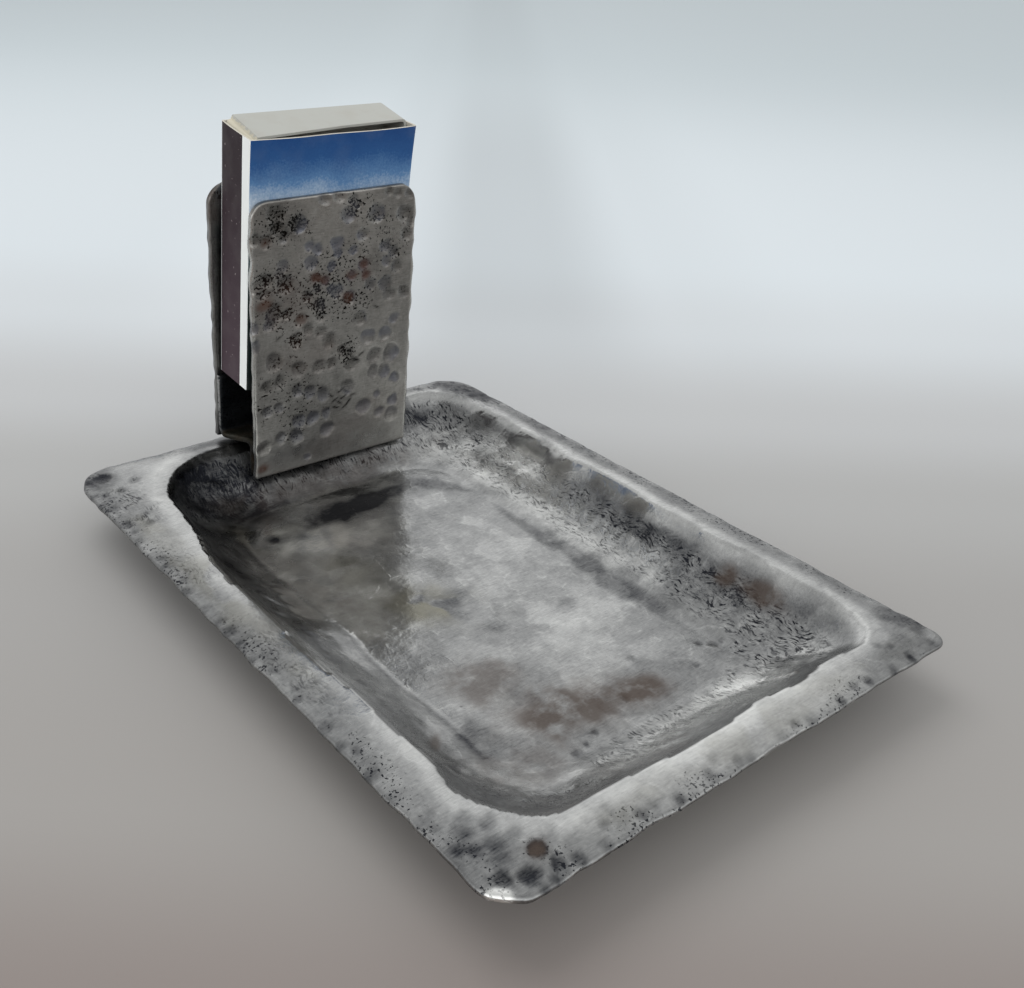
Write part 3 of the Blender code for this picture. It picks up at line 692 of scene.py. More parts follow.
def iron_surface():
    """Node group: colour, roughness and fine relief of beaten iron, from its painted masks."""
    inputs = dict.fromkeys(IRON_COLOURS, "Color")
    inputs.update(dict.fromkeys((*IRON_MASKS.values(), "Dullness"), "Float"))
    outputs = {"Color": "Color", "Roughness": "Float", "Height": "Float"}
    group, given = new_group("beaten_iron", inputs, outputs)
    place = add_node(group, "ShaderNodeTexCoord", {}).outputs["Object"]

    def noise(scale, detail, stretch=None):
        return add_noise(group, place, scale, detail, stretch, IRON_GRAIN)

    def calculate(operation, *values):
        return add_math(group, operation, *values)

    def stretched(value, *limits):
        return add_map(group, value, *limits)

    # Small flats with ridges between them, each a little lighter or darker than the next, and the ridges
    # painted lighter, as a painted highlight along them
    mottle, speck = noise(330.0, 2.0), noise(1700.0, 3.0)
    bent = {"Vector": add_bend(group, place, 90.0, 3.0, 0.016), "Scale": FLAT_SCALE}
    soft = {**bent, "Smoothness": FLAT_SOFTNESS}
    flats = add_node(group, "ShaderNodeTexVoronoi", soft, feature="SMOOTH_F1").outputs["Color"]
    flats = add_node(group, "ShaderNodeSeparateColor", {"Color": flats}, mode="RGB").outputs
    ridge = add_node(group, "ShaderNodeTexVoronoi", bent, feature="DISTANCE_TO_EDGE").outputs["Distance"]
    ridge = calculate("MULTIPLY", stretched(ridge, 0.0, 0.05, 1.0, 0.0), stretched(mottle, 0.46, 0.60))
    ridge = calculate("MULTIPLY", ridge, given["Mottle"])
    wander = stretched(flats["Red"], 0.2, 0.8, -0.08, 0.08)
    wander = calculate("ADD", wander, stretched(mottle, 0.30, 0.70, -0.08, 0.08))
    wander = calculate("MULTIPLY_ADD", ridge, 0.10, wander)
    tone = calculate("ADD", stretched(speck, 0.25, 0.75, -0.055, 0.055), given["Tone"])
    tone = calculate("MULTIPLY_ADD", wander, given["Mottle"], tone)

    # Long scratches, dark ones and bright ones
    scratch = noise(1.0, 2.0, SCRATCH_STRETCH)
    tone = calculate("ADD", tone, stretched(scratch, 0.56, 0.66, 0.0, -0.08))
    tone = calculate("ADD", tone, stretched(scratch, 0.42, 0.34, 0.0, 0.06))

    # What is cut into the surface: veins in the crinkled parts, short strokes and pits, with a painted
    # highlight beside the strokes
    vein = calculate("ABSOLUTE", calculate("SUBTRACT", noise(1000.0, 2.0, VEIN_STRETCH), 0.5))
    vein = stretched(vein, 0.008, 0.04, 1.0, 0.0)
    vein = calculate("MULTIPLY", vein, stretched(noise(520.0, 2.0), 0.46, 0.54))
    vein = calculate("MULTIPLY", vein, given["Crinkled"])
    curled = add_bend(group, place, 210.0, 1.0, 0.0035)
    stroke = add_noise(group, curled, 1.0, 2.0, STROKE_STRETCH)
    cluster = calculate("MULTIPLY", given["Hatched"], stretched(noise(300.0, 3.0), 0.40, 0.56, 0.15, 1.0))
    lit_stroke = calculate("MULTIPLY", stretched(stroke, 0.44, 0.38), cluster)
    stroke = calculate("MULTIPLY", stretched(stroke, 0.55, 0.61), cluster)
    pit = stretched(calculate("MULTIPLY_ADD", given["Pitted"], 0.16, noise(1900.0, 3.0)), 0.63, 0.66)
    pit = calculate("MULTIPLY", pit, stretched(given["Pitted"], 0.02, 0.12))
    cut_in = calculate("MAXIMUM", calculate("MAXIMUM", vein, stroke), pit)
    tone = calculate("MULTIPLY_ADD", lit_stroke, 0.16, tone)
    tone = calculate("SUBTRACT", tone, calculate("MULTIPLY", cut_in, 0.50))

    # Colour from the tone, from scale and painted shade up to polish and painted highlight, then tarnish
    # on some of the flats, then rust
    colour = add_mix(group, stretched(tone, 0.0, 0.5), given["Scale and shade"], given["Plain"])
    colour = add_mix(group, stretched(tone, 0.5, 1.3), colour, given["Polish and highlight"])
    tarnish = calculate("MULTIPLY", given["Tarnished"], stretched(flats["Green"], 0.25, 0.60))
    colour = add_mix(group, tarnish, colour, given["Tarnish"])
    rust = calculate("MULTIPLY", given["Rusted"], stretched(noise(260.0, 4.0), 0.26, 0.52, 0.0, 0.9))
    colour = add_mix(group, rust, colour, given["Rust"])

    dull = calculate("MULTIPLY_ADD", rust, 0.2, given["Dullness"])
    dull = calculate("MULTIPLY_ADD", given["Hatched"], 0.12, dull)
    dull = calculate("ADD", dull, stretched(tone, 0.2, 0.8, 0.08, -0.05))
    dull = calculate("ADD", dull, stretched(mottle, 0.3, 0.7, -0.04, 0.06))
    height = calculate("MULTIPLY", mottle, 1.2)
    grain = noise(5200.0, 2.0)
    crumple = calculate("MULTIPLY", noise(640.0, 3.0), given["Crinkled"])
    for layer, depth in ((speck, 0.28), (ridge, 0.25), (grain, 0.03), (cut_in, -0.8), (crumple, 4.0)):
        height = calculate("MULTIPLY_ADD", layer, depth, height)
    add_node(group, "NodeGroupOutput", {"Color": colour, "Roughness": dull, "Height": height})
    return group


beaten_iron = iron_surface()


def iron_material(name, colours, dullness, relief):
    """One finish of beaten iron: its five colours, and the masks painted on the piece."""
    material, tree, shader = new_material(name)
    values = {socket: (*colour, 1.0) for socket, colour in zip(IRON_COLOURS, colours)}
    for mask, socket in IRON_MASKS.items():
        values[socket] = add_node(tree, "ShaderNodeAttribute", {}, attribute_name=mask).outputs["Fac"]
    values["Dullness"] = dullness
    surface = add_node(tree, "ShaderNodeGroup", values, node_tree=beaten_iron).outputs
    tree.links.new(surface["Color"], shader.inputs["Base Color"])
    tree.links.new(surface["Roughness"], shader.inputs["Roughness"])
    add_relief(tree, shader, surface["Height"], relief)
    shader.inputs["Metallic"].default_value = 1.0
    return material


BURNISHED_COLOURS = (
    (0.022, 0.024, 0.030), (0.281, 0.286, 0.285), (0.790, 0.800, 0.780),
    (0.098, 0.076, 0.064), (0.250, 0.242, 0.195),
)
burnished_iron = iron_material("burnished_iron", BURNISHED_COLOURS, 0.21, 0.06)
tray = sheet_piece("beaten_tray", upper, lower, burnished_iron, tray_masks)
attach(tray, "ashtray")
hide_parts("tray")

# Holder frame: the two plates and their foot lean forward together, three degrees, and a hair to
# the right, because they were brazed on by eye. Their meshes are made in that leaning frame.
HOLDER_PLACE = (4.0, 65.8, 10.2)
HOLDER_LEAN = math.radians(3.0)
HOLDER_TILT = math.radians(0.6)
holder_frame = (
    Matrix.Translation(Vector(HOLDER_PLACE) * MM)
    @ Matrix.Rotation(HOLDER_TILT, 4, "Y")
    @ Matrix.Rotation(HOLDER_LEAN, 4, "X")
)

# Foot: one strip of the same sheet, bent cold in a Z. Its back leg stands behind the matchbox and
# carries it, its web crosses over the rim, and its front leg stands against the front plate.
FOOT_HALF_WIDTH_BACK = 19.9
FOOT_HALF_WIDTH_FRONT = 18.6
FOOT_DEPTH = 12.0
FOOT_PATH = ((-0.7, 15.0), (-0.7, 1.36), (-FOOT_DEPTH, 4.56), (-FOOT_DEPTH, -2.8))
FOOT_BEND = 1.4
FOOT_BEND_STEPS = 8
FOOT_PITCH = 0.6
FOOT_CROSS_PITCH = 0.03
FOOT_EDGE_STEPS = (0.0, 0.004, 0.012)
FOOT_EDGE_ROUND = 0.22
FOOT_EDGE_REACH = 0.4
FOOT_RELIEF = ((0.06, 3.0, 41), (0.03, 1.2, 42))
FOOT_LEG_END = (14.5, 12.5)


def bent_path(corners, radius, pitch):
    """A path with its inner corners turned into arcs, as points and the normals beside them."""
    corners = [Vector(corner) for corner in corners]
    path = [corners[0]]
    for before, corner, after in zip(corners, corners[1:], corners[2:]):
        back, ahead = (before - corner).normalized(), (after - corner).normalized()
        half = back.angle(ahead) / 2
        centre = corner + (back + ahead).normalized() * radius / math.sin(half)
        reach = radius / math.tan(half)
        start, end = corner + back * reach - centre, corner + ahead * reach - centre
        turn = start.angle_signed(end)
        for step in range(FOOT_BEND_STEPS + 1):
            angle = -turn * step / FOOT_BEND_STEPS
            cosine, sine = math.cos(angle), math.sin(angle)
            arm = Vector((start.x * cosine - start.y * sine, start.x * sine + start.y * cosine))
            path.append(centre + arm)
    path.append(corners[-1])
    path = np.array([tuple(point) for point in path])
    along = np.concatenate(([0.0], np.cumsum(np.hypot(*np.diff(path, axis=0).T))))
    places = np.linspace(0, along[-1], round(along[-1] / pitch) + 1)
    points = np.stack([np.interp(places, along, path[:, axis]) for axis in (0, 1)], -1)
    direction = np.gradient(points, axis=0)
    direction /= np.hypot(direction[:, 0], direction[:, 1])[:, None]
    return points, np.stack((direction[:, 1], -direction[:, 0]), -1)


path, beside = bent_path(FOOT_PATH, FOOT_BEND, FOOT_PITCH)
depth_share = np.clip(-path[:, 0] / FOOT_DEPTH, 0, 1)[:, None]
half_width = FOOT_HALF_WIDTH_BACK + (FOOT_HALF_WIDTH_FRONT - FOOT_HALF_WIDTH_BACK) * depth_share
strip_x = half_width * grid_lines(-1.0, 1.0, FOOT_CROSS_PITCH, FOOT_EDGE_STEPS)[None, :]
strip_s = np.arange(len(path))[:, None] * FOOT_PITCH + 0 * strip_x
relief = layered_noise(strip_x, strip_s, *FOOT_RELIEF)
edge_share = np.clip(1 - (half_width - np.abs(strip_x)) / FOOT_EDGE_REACH, 0, 1) ** 2
faces = []
for side in (1.0, -1.0):
    offset = side * (SHEET / 2 - FOOT_EDGE_ROUND * edge_share - 0.1 * np.abs(relief))
    points = path[:, None, :] + beside[:, None, :] * offset[..., None]
    faces.append(np.stack((strip_x, points[..., 0], points[..., 1]), -1))
FOOT_COLOURS = (
    (0.008, 0.009, 0.011), (0.045, 0.050, 0.055), (0.600, 0.600, 0.590),
    (0.060, 0.044, 0.030), (0.055, 0.055, 0.034),
)
scaled_iron = iron_material("scaled_iron", FOOT_COLOURS, 0.42, 0.10)
on_leg = ramped(strip_s, *FOOT_LEG_END)
# The foot's side edges are painted lighter, most on its leg, as a painted highlight
foot_tone = 0.2 + (0.7 * on_leg + 0.1) * edge_share + 0.25 * soft_noise(strip_x, strip_s, 3.0, 43)
foot_masks = {
    "mottle": 1.0,
    "tone": np.clip(foot_tone, 0, 1),
    "rust": (1 - on_leg) * np.clip(0.45 + 0.5 * soft_noise(strip_x, strip_s, 4.0, 44), 0, 1),
    "tarnish": (1 - on_leg) * np.clip(0.2 + 0.6 * soft_noise(strip_x, strip_s, 5.0, 46), 0, 1),
    "pits": np.clip(0.3 + 0.5 * soft_noise(strip_x, strip_s, 1.5, 45), 0, 1),
    "crinkles": 0.8,
    "hatching": 0.0,
}
foot = sheet_piece("bent_foot", faces[0], faces[1], scaled_iron, foot_masks)
foot.matrix_world = holder_frame
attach(foot, "ashtray")
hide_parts("holder_foot")

# Back plate: the same sheet, a little wider than the front one, beaten on its outer face. Its
# inner face lies against the matchbox and keeps its scale.
BACK_PLATE_HALF_WIDTH = 20.0
BACK_PLATE_BOTTOM = 0.76
BACK_PLATE_FACE = 1.2
BACK_DIMPLE_COUNT = 120
BACK_DIMPLE_DEPTH = 0.28
BACK_DIMPLE_LIMITS = ((-19.0, 19.0), (2.0, 53.0), (1.2, 2.2))
BACK_DIMPLE_SPACING = 0.8
BACK_PITCH = 0.5
PLATE_TOP = 54.0
PLATE_CORNER = 4.0
PLATE_FOOT_CORNER = 0.6
PLATE_EDGE_STEPS = (0.0, 0.06, 0.15, 0.28, 0.45)
PLATE_EDGE_ROUND = 0.4
PLATE_WAVE = 0.30
PLATE_WAVE_SIZE = 3.6
PLATE_WAVE_REACH = 3.0
USUAL_MARK_RADIUS = 1.7


def plate_grids(half_width, bottom, face, back, marks, mark_depth, pitch, seed):
    """Grids of a plate's face and back in the holder's frame, with its dimples on the face."""
    x, z = np.meshgrid(
        grid_lines(-half_width, half_width, pitch, PLATE_EDGE_STEPS),
        grid_lines(bottom, PLATE_TOP, pitch, PLATE_EDGE_STEPS),
        indexing="ij",
    )
    middle, half_height = (bottom + PLATE_TOP) / 2, (PLATE_TOP - bottom) / 2
    corners = (PLATE_CORNER, PLATE_CORNER, PLATE_FOOT_CORNER, PLATE_FOOT_CORNER)
    x, level = rounded_corners(x, z - middle, half_width, half_height, corners)
    edge = -outside_by(x, level, (-half_width, -half_height), (half_width, half_height), corners)
    z = level + middle
    cups = dimples(x, z, [(*mark, mark_depth * mark[2] / USUAL_MARK_RADIUS) for mark in marks])
    dents = cups + layered_noise(x, z, (0.05, 7.0, seed), (0.02, 2.1, seed + 1))
    fall = rounded_edge(edge, PLATE_EDGE_ROUND)
    wave = PLATE_WAVE * soft_noise(x * 1.3 + z, z, PLATE_WAVE_SIZE, seed + 2)
    wave = wave * ramped(edge, PLATE_WAVE_REACH, 0) - 0.1 * (edge < 0.01)
    x = x + wave * np.sign(x) * (np.abs(x) > half_width - PLATE_WAVE_REACH)
    inward = 1.0 if back > face else -1.0
    front = np.stack((x, face + inward * (dents + fall), z), -1)
    rear = np.stack((x, back - inward * fall, z), -1)
    return front, rear, x, z, cups


random = np.random.default_rng(51)
back_dimples = []
while len(back_dimples) < BACK_DIMPLE_COUNT:
    x, z, radius = (random.uniform(*limits) for limits in BACK_DIMPLE_LIMITS)
    if all(
        math.hypot(x - other_x, z - other_z) > BACK_DIMPLE_SPACING * (radius + other_radius)
        for other_x, other_z, other_radius in back_dimples
    ):
        back_dimples.append((x, z, radius))
front, rear, plate_x, plate_z, dents = plate_grids(
    BACK_PLATE_HALF_WIDTH, BACK_PLATE_BOTTOM, BACK_PLATE_FACE, 0.0, back_dimples,
    BACK_DIMPLE_DEPTH, BACK_PITCH, 52,
)
BACK_COLOURS = (
    (0.020, 0.020, 0.021), (0.150, 0.148, 0.142), (0.450, 0.450, 0.440),
    (0.120, 0.075, 0.055), (0.100, 0.100, 0.110),
)
dark_iron = iron_material("dark_iron", BACK_COLOURS, 0.32, 0.07)
# The back plate's dimples are painted darker, and a painted highlight lies along its side edges
edge_highlight = ramped(np.abs(plate_x), BACK_PLATE_HALF_WIDTH - 0.6, BACK_PLATE_HALF_WIDTH - 0.3)
back_tone = 0.42 + 0.12 * soft_noise(plate_x, plate_z, 9.0, 53) - 0.5 * dents + 0.35 * edge_highlight
back_masks = {
    "mottle": 0.8,
    "tone": np.clip(back_tone, 0, 1),
    "rust": np.clip(0.9 * soft_noise(plate_x, plate_z, 7.0, 54) - 0.25, 0, 1),
    "tarnish": np.clip(soft_noise(plate_x, plate_z, 5.0, 55), 0, 1),
    "pits": np.clip(dents / 0.3, 0, 1) * (soft_noise(plate_x, plate_z, 6.0, 56) > 0),
    "crinkles": 0.0,
    "hatching": 0.3,
}
back_plate = sheet_piece("back_plate", front, rear, dark_iron, back_masks, turned=True)
back_plate.matrix_world = holder_frame
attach(back_plate, "ashtray")
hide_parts("holder_back_plate")

# Front plate: iron sheet, beaten all over with a small round punch, so that it is full of round
# dimples. Pits and rust sit in them across its middle and top, and its edges carry a painted highlight.
FRONT_PLATE_HALF_WIDTH = 18.7
FRONT_PLATE_BOTTOM = -3.5
FRONT_PLATE_FACE = -13.9
FRONT_PITCH = 0.32
FRONT_DIMPLE_DEPTH = 0.34
FRONT_CUP_DEPTH = 0.28
FRONT_CUP_HIGHLIGHT = (0.10, 0.07, 0.10)
FRONT_DIMPLES = (
    (-13.5, 51.2, 2.0), (-8.5, 48.9, 2.0), (-13.3, 48.7, 1.8), (-11.6, 46.8, 1.4), (-15.8, 46.4, 1.6),
    (-17.9, 47.0, 1.4), (-2.7, 53.2, 1.5), (0.5, 53.2, 1.5), (3.6, 52.2, 1.3), (4.4, 51.2, 1.2),
    (2.5, 49.5, 1.9), (9.2, 48.9, 2.2), (11.9, 53.0, 1.2), (14.0, 52.2, 1.2), (16.9, 52.0, 1.2),
    (16.1, 48.0, 2.2), (17.7, 46.4, 1.5), (6.1, 45.1, 1.5), (16.5, 43.6, 1.6), (11.5, 42.0, 1.5),
    (13.4, 40.5, 1.5), (11.9, 38.9, 1.3), (14.4, 37.4, 1.6), (0.0, 44.1, 1.7), (0.3, 42.2, 1.2),
    (-4.3, 43.5, 1.4), (-6.2, 44.3, 1.2), (-5.8, 41.0, 1.7), (-12.0, 41.4, 1.5), (-12.9, 39.9, 1.2),
    (-1.0, 39.7, 1.3), (4.0, 42.2, 1.2), (6.3, 38.9, 1.4), (3.6, 37.0, 1.3), (7.1, 36.6, 1.3),
    (-2.7, 37.0, 1.3), (-4.8, 37.8, 1.3), (-16.2, 38.7, 2.0), (-16.4, 36.4, 1.4), (-11.4, 37.6, 2.0),
    (-18.0, 37.8, 1.3), (-4.3, 35.5, 1.2), (-6.6, 34.3, 1.3), (-1.0, 34.9, 1.3), (0.3, 34.3, 1.6),
    (8.2, 34.5, 1.5), (11.9, 34.1, 1.8), (-13.9, 32.0, 2.2), (-14.8, 29.9, 1.6), (-11.2, 31.4, 1.4),
    (-3.9, 31.8, 1.8), (3.2, 32.4, 1.8), (12.8, 31.8, 1.7), (16.5, 31.6, 1.7), (-8.1, 29.7, 1.6),
    (-3.5, 29.5, 1.4), (-18.5, 29.7, 1.4), (5.7, 27.4, 1.8), (-6.4, 27.4, 1.5), (-3.3, 26.4, 1.5),
    (-9.1, 25.5, 1.8), (-18.3, 25.8, 1.6), (-1.6, 24.1, 1.9), (1.7, 21.6, 1.3), (3.2, 20.3, 1.3),
    (7.8, 23.0, 2.0), (12.3, 23.0, 1.8), (14.4, 26.0, 1.4), (-13.9, 21.8, 2.3), (-8.5, 19.3, 2.0),
    (-3.9, 18.7, 1.8), (-1.0, 18.9, 1.6), (4.0, 17.8, 1.8), (9.6, 18.7, 2.0), (14.0, 18.3, 2.2),
    (-15.8, 16.8, 1.6), (-12.9, 17.4, 1.5), (-8.9, 14.3, 1.6), (-5.8, 13.7, 1.8), (-2.7, 12.4, 1.8),
    (3.2, 12.8, 1.9), (9.4, 14.9, 1.6), (12.3, 14.5, 1.7), (15.3, 12.4, 1.5), (-15.6, 11.2, 1.5),
    (-12.9, 11.6, 1.4), (-8.5, 7.4, 1.9), (-5.2, 7.4, 1.7), (-2.0, 7.8, 1.4), (7.3, 7.0, 2.0),
    (10.7, 9.5, 1.0), (14.8, 7.0, 1.6), (-12.7, 4.7, 1.4), (-9.1, 4.1, 1.8), (-1.6, 4.1, 1.7),
    (-16.8, 3.3, 1.6), (11.3, 4.9, 1.4), (14.8, 3.7, 1.8), (-6.4, -1.3, 1.1),
)
FRONT_RUST = (
    (6.3, 38.9, 1.2, 1.1, 0, 0.8), (3.6, 37.0, 1.2, 1.0, 0, 1.0), (7.1, 36.6, 1.1, 1.0, 0, 0.8),
    (-2.7, 37.0, 1.2, 1.0, 0, 0.8), (-4.8, 37.8, 1.1, 1.0, 0, 0.8), (-16.4, 33.9, 1.7, 1.1, 0, 0.7),
    (3.2, 32.4, 1.3, 1.1, 0, 0.8), (-8.1, 29.7, 1.2, 1.0, 0, 0.5), (-15.8, 46.4, 1.2, 1.0, 0, 0.5),
    (-17.0, -1.3, 1.3, 1.0, 0, 1.0), (4.0, 3.0, 14.0, 4.0, 20, 0.16), (-8.0, 22.0, 7.0, 4.0, 0, 0.16),
    (-12.0, 33.0, 6.0, 5.0, 0, 0.2),
)
# Broad patches of lighter and darker tone; the darker ones across the plate's lower half are painted shade
FRONT_TONES = (
    (-15.0, 50.0, 6.0, 6.0, 0, -0.16), (14.0, 47.0, 6.0, 9.0, 0, -0.05), (4.0, 37.0, 8.0, 5.0, 0, -0.04),
    (0.0, 12.0, 22.0, 9.0, 0, -0.06), (12.0, 9.0, 7.0, 9.0, 0, -0.04), (0.0, 0.0, 22.0, 4.0, 0, 0.08),
)
FRONT_PITS = (
    (-12.5, 49.0, 5.0, 3.5, 0, 0.75), (-8.5, 48.9, 2.0, 2.0, 0, 1.0), (5.0, 51.0, 3.0, 2.5, 0, 0.8),
    (10.0, 47.0, 3.0, 3.0, 0, 0.5), (-14.0, 37.0, 4.5, 4.0, 0, 0.8), (2.0, 39.0, 7.0, 4.0, 0, 0.9),
    (-4.0, 34.5, 4.0, 3.0, 0, 1.0), (3.0, 31.0, 4.0, 3.0, 0, 0.8), (-12.0, 31.0, 5.0, 2.5, 0, 0.65),
    (-3.5, 31.0, 2.5, 2.5, 0, 0.8), (-9.1, 25.5, 2.2, 2.0, 0, 0.9), (2.5, 21.0, 2.4, 2.6, 0, 0.9),
    (14.0, 42.0, 4.0, 3.0, 0, 0.4), (-11.0, 15.0, 7.0, 6.0, 0, 0.35), (-9.0, 6.0, 4.0, 3.0, 0, 0.4),
)
FRONT_CUTS = (
    (0.2, 10.4, 30, 1.8), (1.2, 9.6, -35, 1.6), (2.2, 10.6, 25, 1.9), (3.2, 11.6, -30, 1.6),
    (1.6, 12.2, 20, 1.8), (3.6, 9.4, 40, 1.5), (0.4, 8.6, -20, 1.6), (2.6, 8.4, 30, 1.7),
    (4.4, 10.6, 10, 1.4), (-0.8, 11.6, -40, 1.4), (6.4, 19.6, 30, 1.8), (5.4, 18.4, -20, 1.6),
    (-13.0, 26.8, 30, 1.6), (9.8, 29.4, -30, 1.5),
)
CUT_HALF_WIDTH = 0.2
front, rear, plate_x, plate_z, dents = plate_grids(
    FRONT_PLATE_HALF_WIDTH, FRONT_PLATE_BOTTOM, FRONT_PLATE_FACE, FRONT_PLATE_FACE + SHEET, FRONT_DIMPLES,
    FRONT_DIMPLE_DEPTH, FRONT_PITCH, 21,
)
FRONT_COLOURS = (
    (0.008, 0.007, 0.006), (0.300, 0.292, 0.275), (0.720, 0.720, 0.690),
    (0.120, 0.062, 0.045), (0.165, 0.172, 0.200),
)
front_iron = iron_material("dimpled_iron", FRONT_COLOURS, 0.27, 0.05)
cups = np.clip(dents / FRONT_CUP_DEPTH, 0, 1)
cup_highlights = around(cups, *FRONT_CUP_HIGHLIGHT) * (cups > 0.01)
edge_highlight = ramped(np.abs(plate_x), FRONT_PLATE_HALF_WIDTH - 0.7, FRONT_PLATE_HALF_WIDTH - 0.4)
front_cuts = np.zeros_like(plate_x)
for cut_x, cut_z, turn, length in FRONT_CUTS:
    along, aside = turned_places(plate_x, plate_z, cut_x, cut_z, math.radians(turn))
    front_cuts += around(aside, 0.0, CUT_HALF_WIDTH) * np.clip(1.5 - 2 * np.abs(along) / length, 0, 1)
# The dimples are painted darker, less so low on the plate, with a painted highlight round the rim of each,
# and the plate's edges get a painted highlight too
front_tone = 0.49 + patches(plate_x, plate_z, FRONT_TONES, 31)
front_tone -= 0.19 * cups**0.7 * np.clip((plate_z + 12) / 30, 0.5, 1)
front_tone += cup_highlights + 0.40 * edge_highlight - 0.4 * front_cuts
front_pits = np.clip(0.05 + patches(plate_x, plate_z, FRONT_PITS, 43), 0, 1)
front_masks = {
    "mottle": 0.6,
    "tone": np.clip(front_tone, 0, 1.3),
    "rust": np.clip(patches(plate_x, plate_z, FRONT_RUST, 35), 0, 1),
    "tarnish": 0.7 * np.minimum(cups * 2, 1) * np.clip(0.5 + soft_noise(plate_x, plate_z, 9.0, 39), 0, 1),
    "pits": front_pits * np.clip(0.40 + 1.6 * cups, 0, 1),
    "crinkles": 0.0,
    "hatching": 0.08,
}
front_plate = sheet_piece("front_plate", front, rear, front_iron, front_masks)
front_plate.matrix_world = holder_frame
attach(front_plate, "ashtray")
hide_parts("holder_front_plate")

# Matchbox: it leans forward and sideways a little in its slot. The sleeve is printed card, glued
# into a tube, with a striking strip down each side. Its front has sprung out a little at the top.
BOX_PLACE = (-1.0, -0.35, 15.74)
BOX_LEAN = math.radians(1.75)
BOX_TILT = math.radians(1.4)
box_frame = (
    holder_frame
    @ Matrix.Translation(Vector(BOX_PLACE) * MM)
    @ Matrix.Rotation(BOX_TILT, 4, "Y")
    @ Matrix.Rotation(BOX_LEAN, 4, "X")
)
BOX_HALF_WIDTH = 18.0
BOX_DEPTH = 11.0
BOX_HEIGHT = 50.0
SLEEVE_CARD = 0.4
SLEEVE_FOLD = 0.5
SLEEVE_SPRING = 0.55
SLEEVE_SPRING_START = 37.5
SLEEVE_DIP = 0.95
SLEEVE_DIP_START = 44.0
SLEEVE_WAVER = 0.12
CARD_CREASE_ANGLE = 40
SLEEVE_ROWS = 40
STRIKER_FRONT = -8.2
STRIKER_BACK = -0.5
STRIKER_SHADES = ((0.0, (0.056, 0.033, 0.045)), (1.0, (0.016, 0.006, 0.010)))
STRIKER_FLECKS = (0.30, 0.26, 0.26, 1.0)
LABEL_GLOSS = 0.35
SIDE_WHITE = (0.92, 0.96, 0.95, 1.0)
SIDE_DEPTH = 0.12
LABEL_SKY = (
    (0.0, (0.004, 0.010, 0.009)), (0.40, (0.008, 0.022, 0.020)), (0.54, (0.02, 0.06, 0.07)),
    (0.70, (0.64, 0.72, 0.78)), (0.76, (0.33, 0.44, 0.58)), (0.82, (0.09, 0.21, 0.41)),
    (0.90, (0.014, 0.085, 0.26)), (1.0, (0.004, 0.056, 0.21)),
)


def box_ring(half_width, front, back, fold, corner_steps=4, wide_steps=30, narrow_steps=10):
    """Points round a box with folded corners, anticlockwise from its right side."""
    centres = (
        (half_width - fold, back - fold), (fold - half_width, back - fold),
        (fold - half_width, front + fold), (half_width - fold, front + fold),
    )
    points = []
    for corner, (x, y) in enumerate(centres):
        angles = math.pi / 2 * (corner + np.linspace(0, 1, corner_steps + 1))
        points.append(np.stack((x + fold * np.cos(angles), y + fold * np.sin(angles)), -1))
        turn = math.pi / 2 * (corner + 1)
        next_x, next_y = centres[(corner + 1) % 4]
        end = np.array((next_x + fold * math.cos(turn), next_y + fold * math.sin(turn)))
        steps = wide_steps if corner % 2 == 0 else narrow_steps
        shares = np.linspace(0, 1, steps + 1)[1:-1, None]
        points.append(points[-1][-1] * (1 - shares) + end * shares)
    return np.concatenate(points)


def tube_faces(rows, columns):
    """Faces between closed rings of points, ring after ring."""
    number = np.arange(rows * columns).reshape(rows, columns)
    following = np.roll(number, -1, axis=1)
    return np.stack((number[:-1], following[:-1], following[1:], number[1:]), -1).reshape(-1, 4)


def shell_piece(name, outer, inner, materials, closed_end=False):
    """A tube of card from its outer and inner rings: the second material is the bare card."""
    rows, columns = outer.shape[:2]
    outside = tube_faces(rows, columns)
    inside = outside[:, ::-1] + rows * columns
    ring = np.arange(columns)
    following = np.roll(ring, -1)
    top = (rows - 1) * columns
    start = np.stack((ring, ring + rows * columns, following + rows * columns, following), -1)
    if closed_end:
        end = [(ring + top).tolist(), (ring + top + rows * columns)[::-1].tolist()]
    else:
        end = (start[:, ::-1] + top).tolist()
    points = np.concatenate((outer.reshape(-1, 3), inner.reshape(-1, 3)))
    faces = [*outside.tolist(), *inside.tolist(), *start.tolist(), *end]
    piece = new_piece(name, points, faces, materials[0])
    piece.data.materials.append(materials[1])
    bare = np.ones(len(piece.data.polygons), np.int32)
    bare[: len(outside)] = 0
    piece.data.polygons.foreach_set("material_index", bare)
    piece.data.set_sharp_from_angle(angle=math.radians(CARD_CREASE_ANGLE))
    return piece


def card_surface():
    """Node group: the faint fibres and soft hollows of card, as a tint and a height."""
    inputs = {"Color": "Color", "Grime": "Color", "Soiling": "Float"}
    group, given = new_group("card_fibres", inputs, {"Color": "Color", "Height": "Float"})
    place = add_node(group, "ShaderNodeTexCoord", {}).outputs["Object"]
    fibres = add_noise(group, place, 1.0, 3.0, (900.0, 4000.0, 4000.0))
    soft = add_noise(group, place, 220.0, 4.0)
    soiled = add_math(group, "MULTIPLY", add_map(group, soft, 0.45, 0.75), given["Soiling"])
    tint = add_mix(group, soiled, given["Color"], given["Grime"])
    add_node(group, "NodeGroupOutput", {"Color": tint, "Height": add_math(group, "ADD", fibres, soft)})
    return group


card_fibres = card_surface()


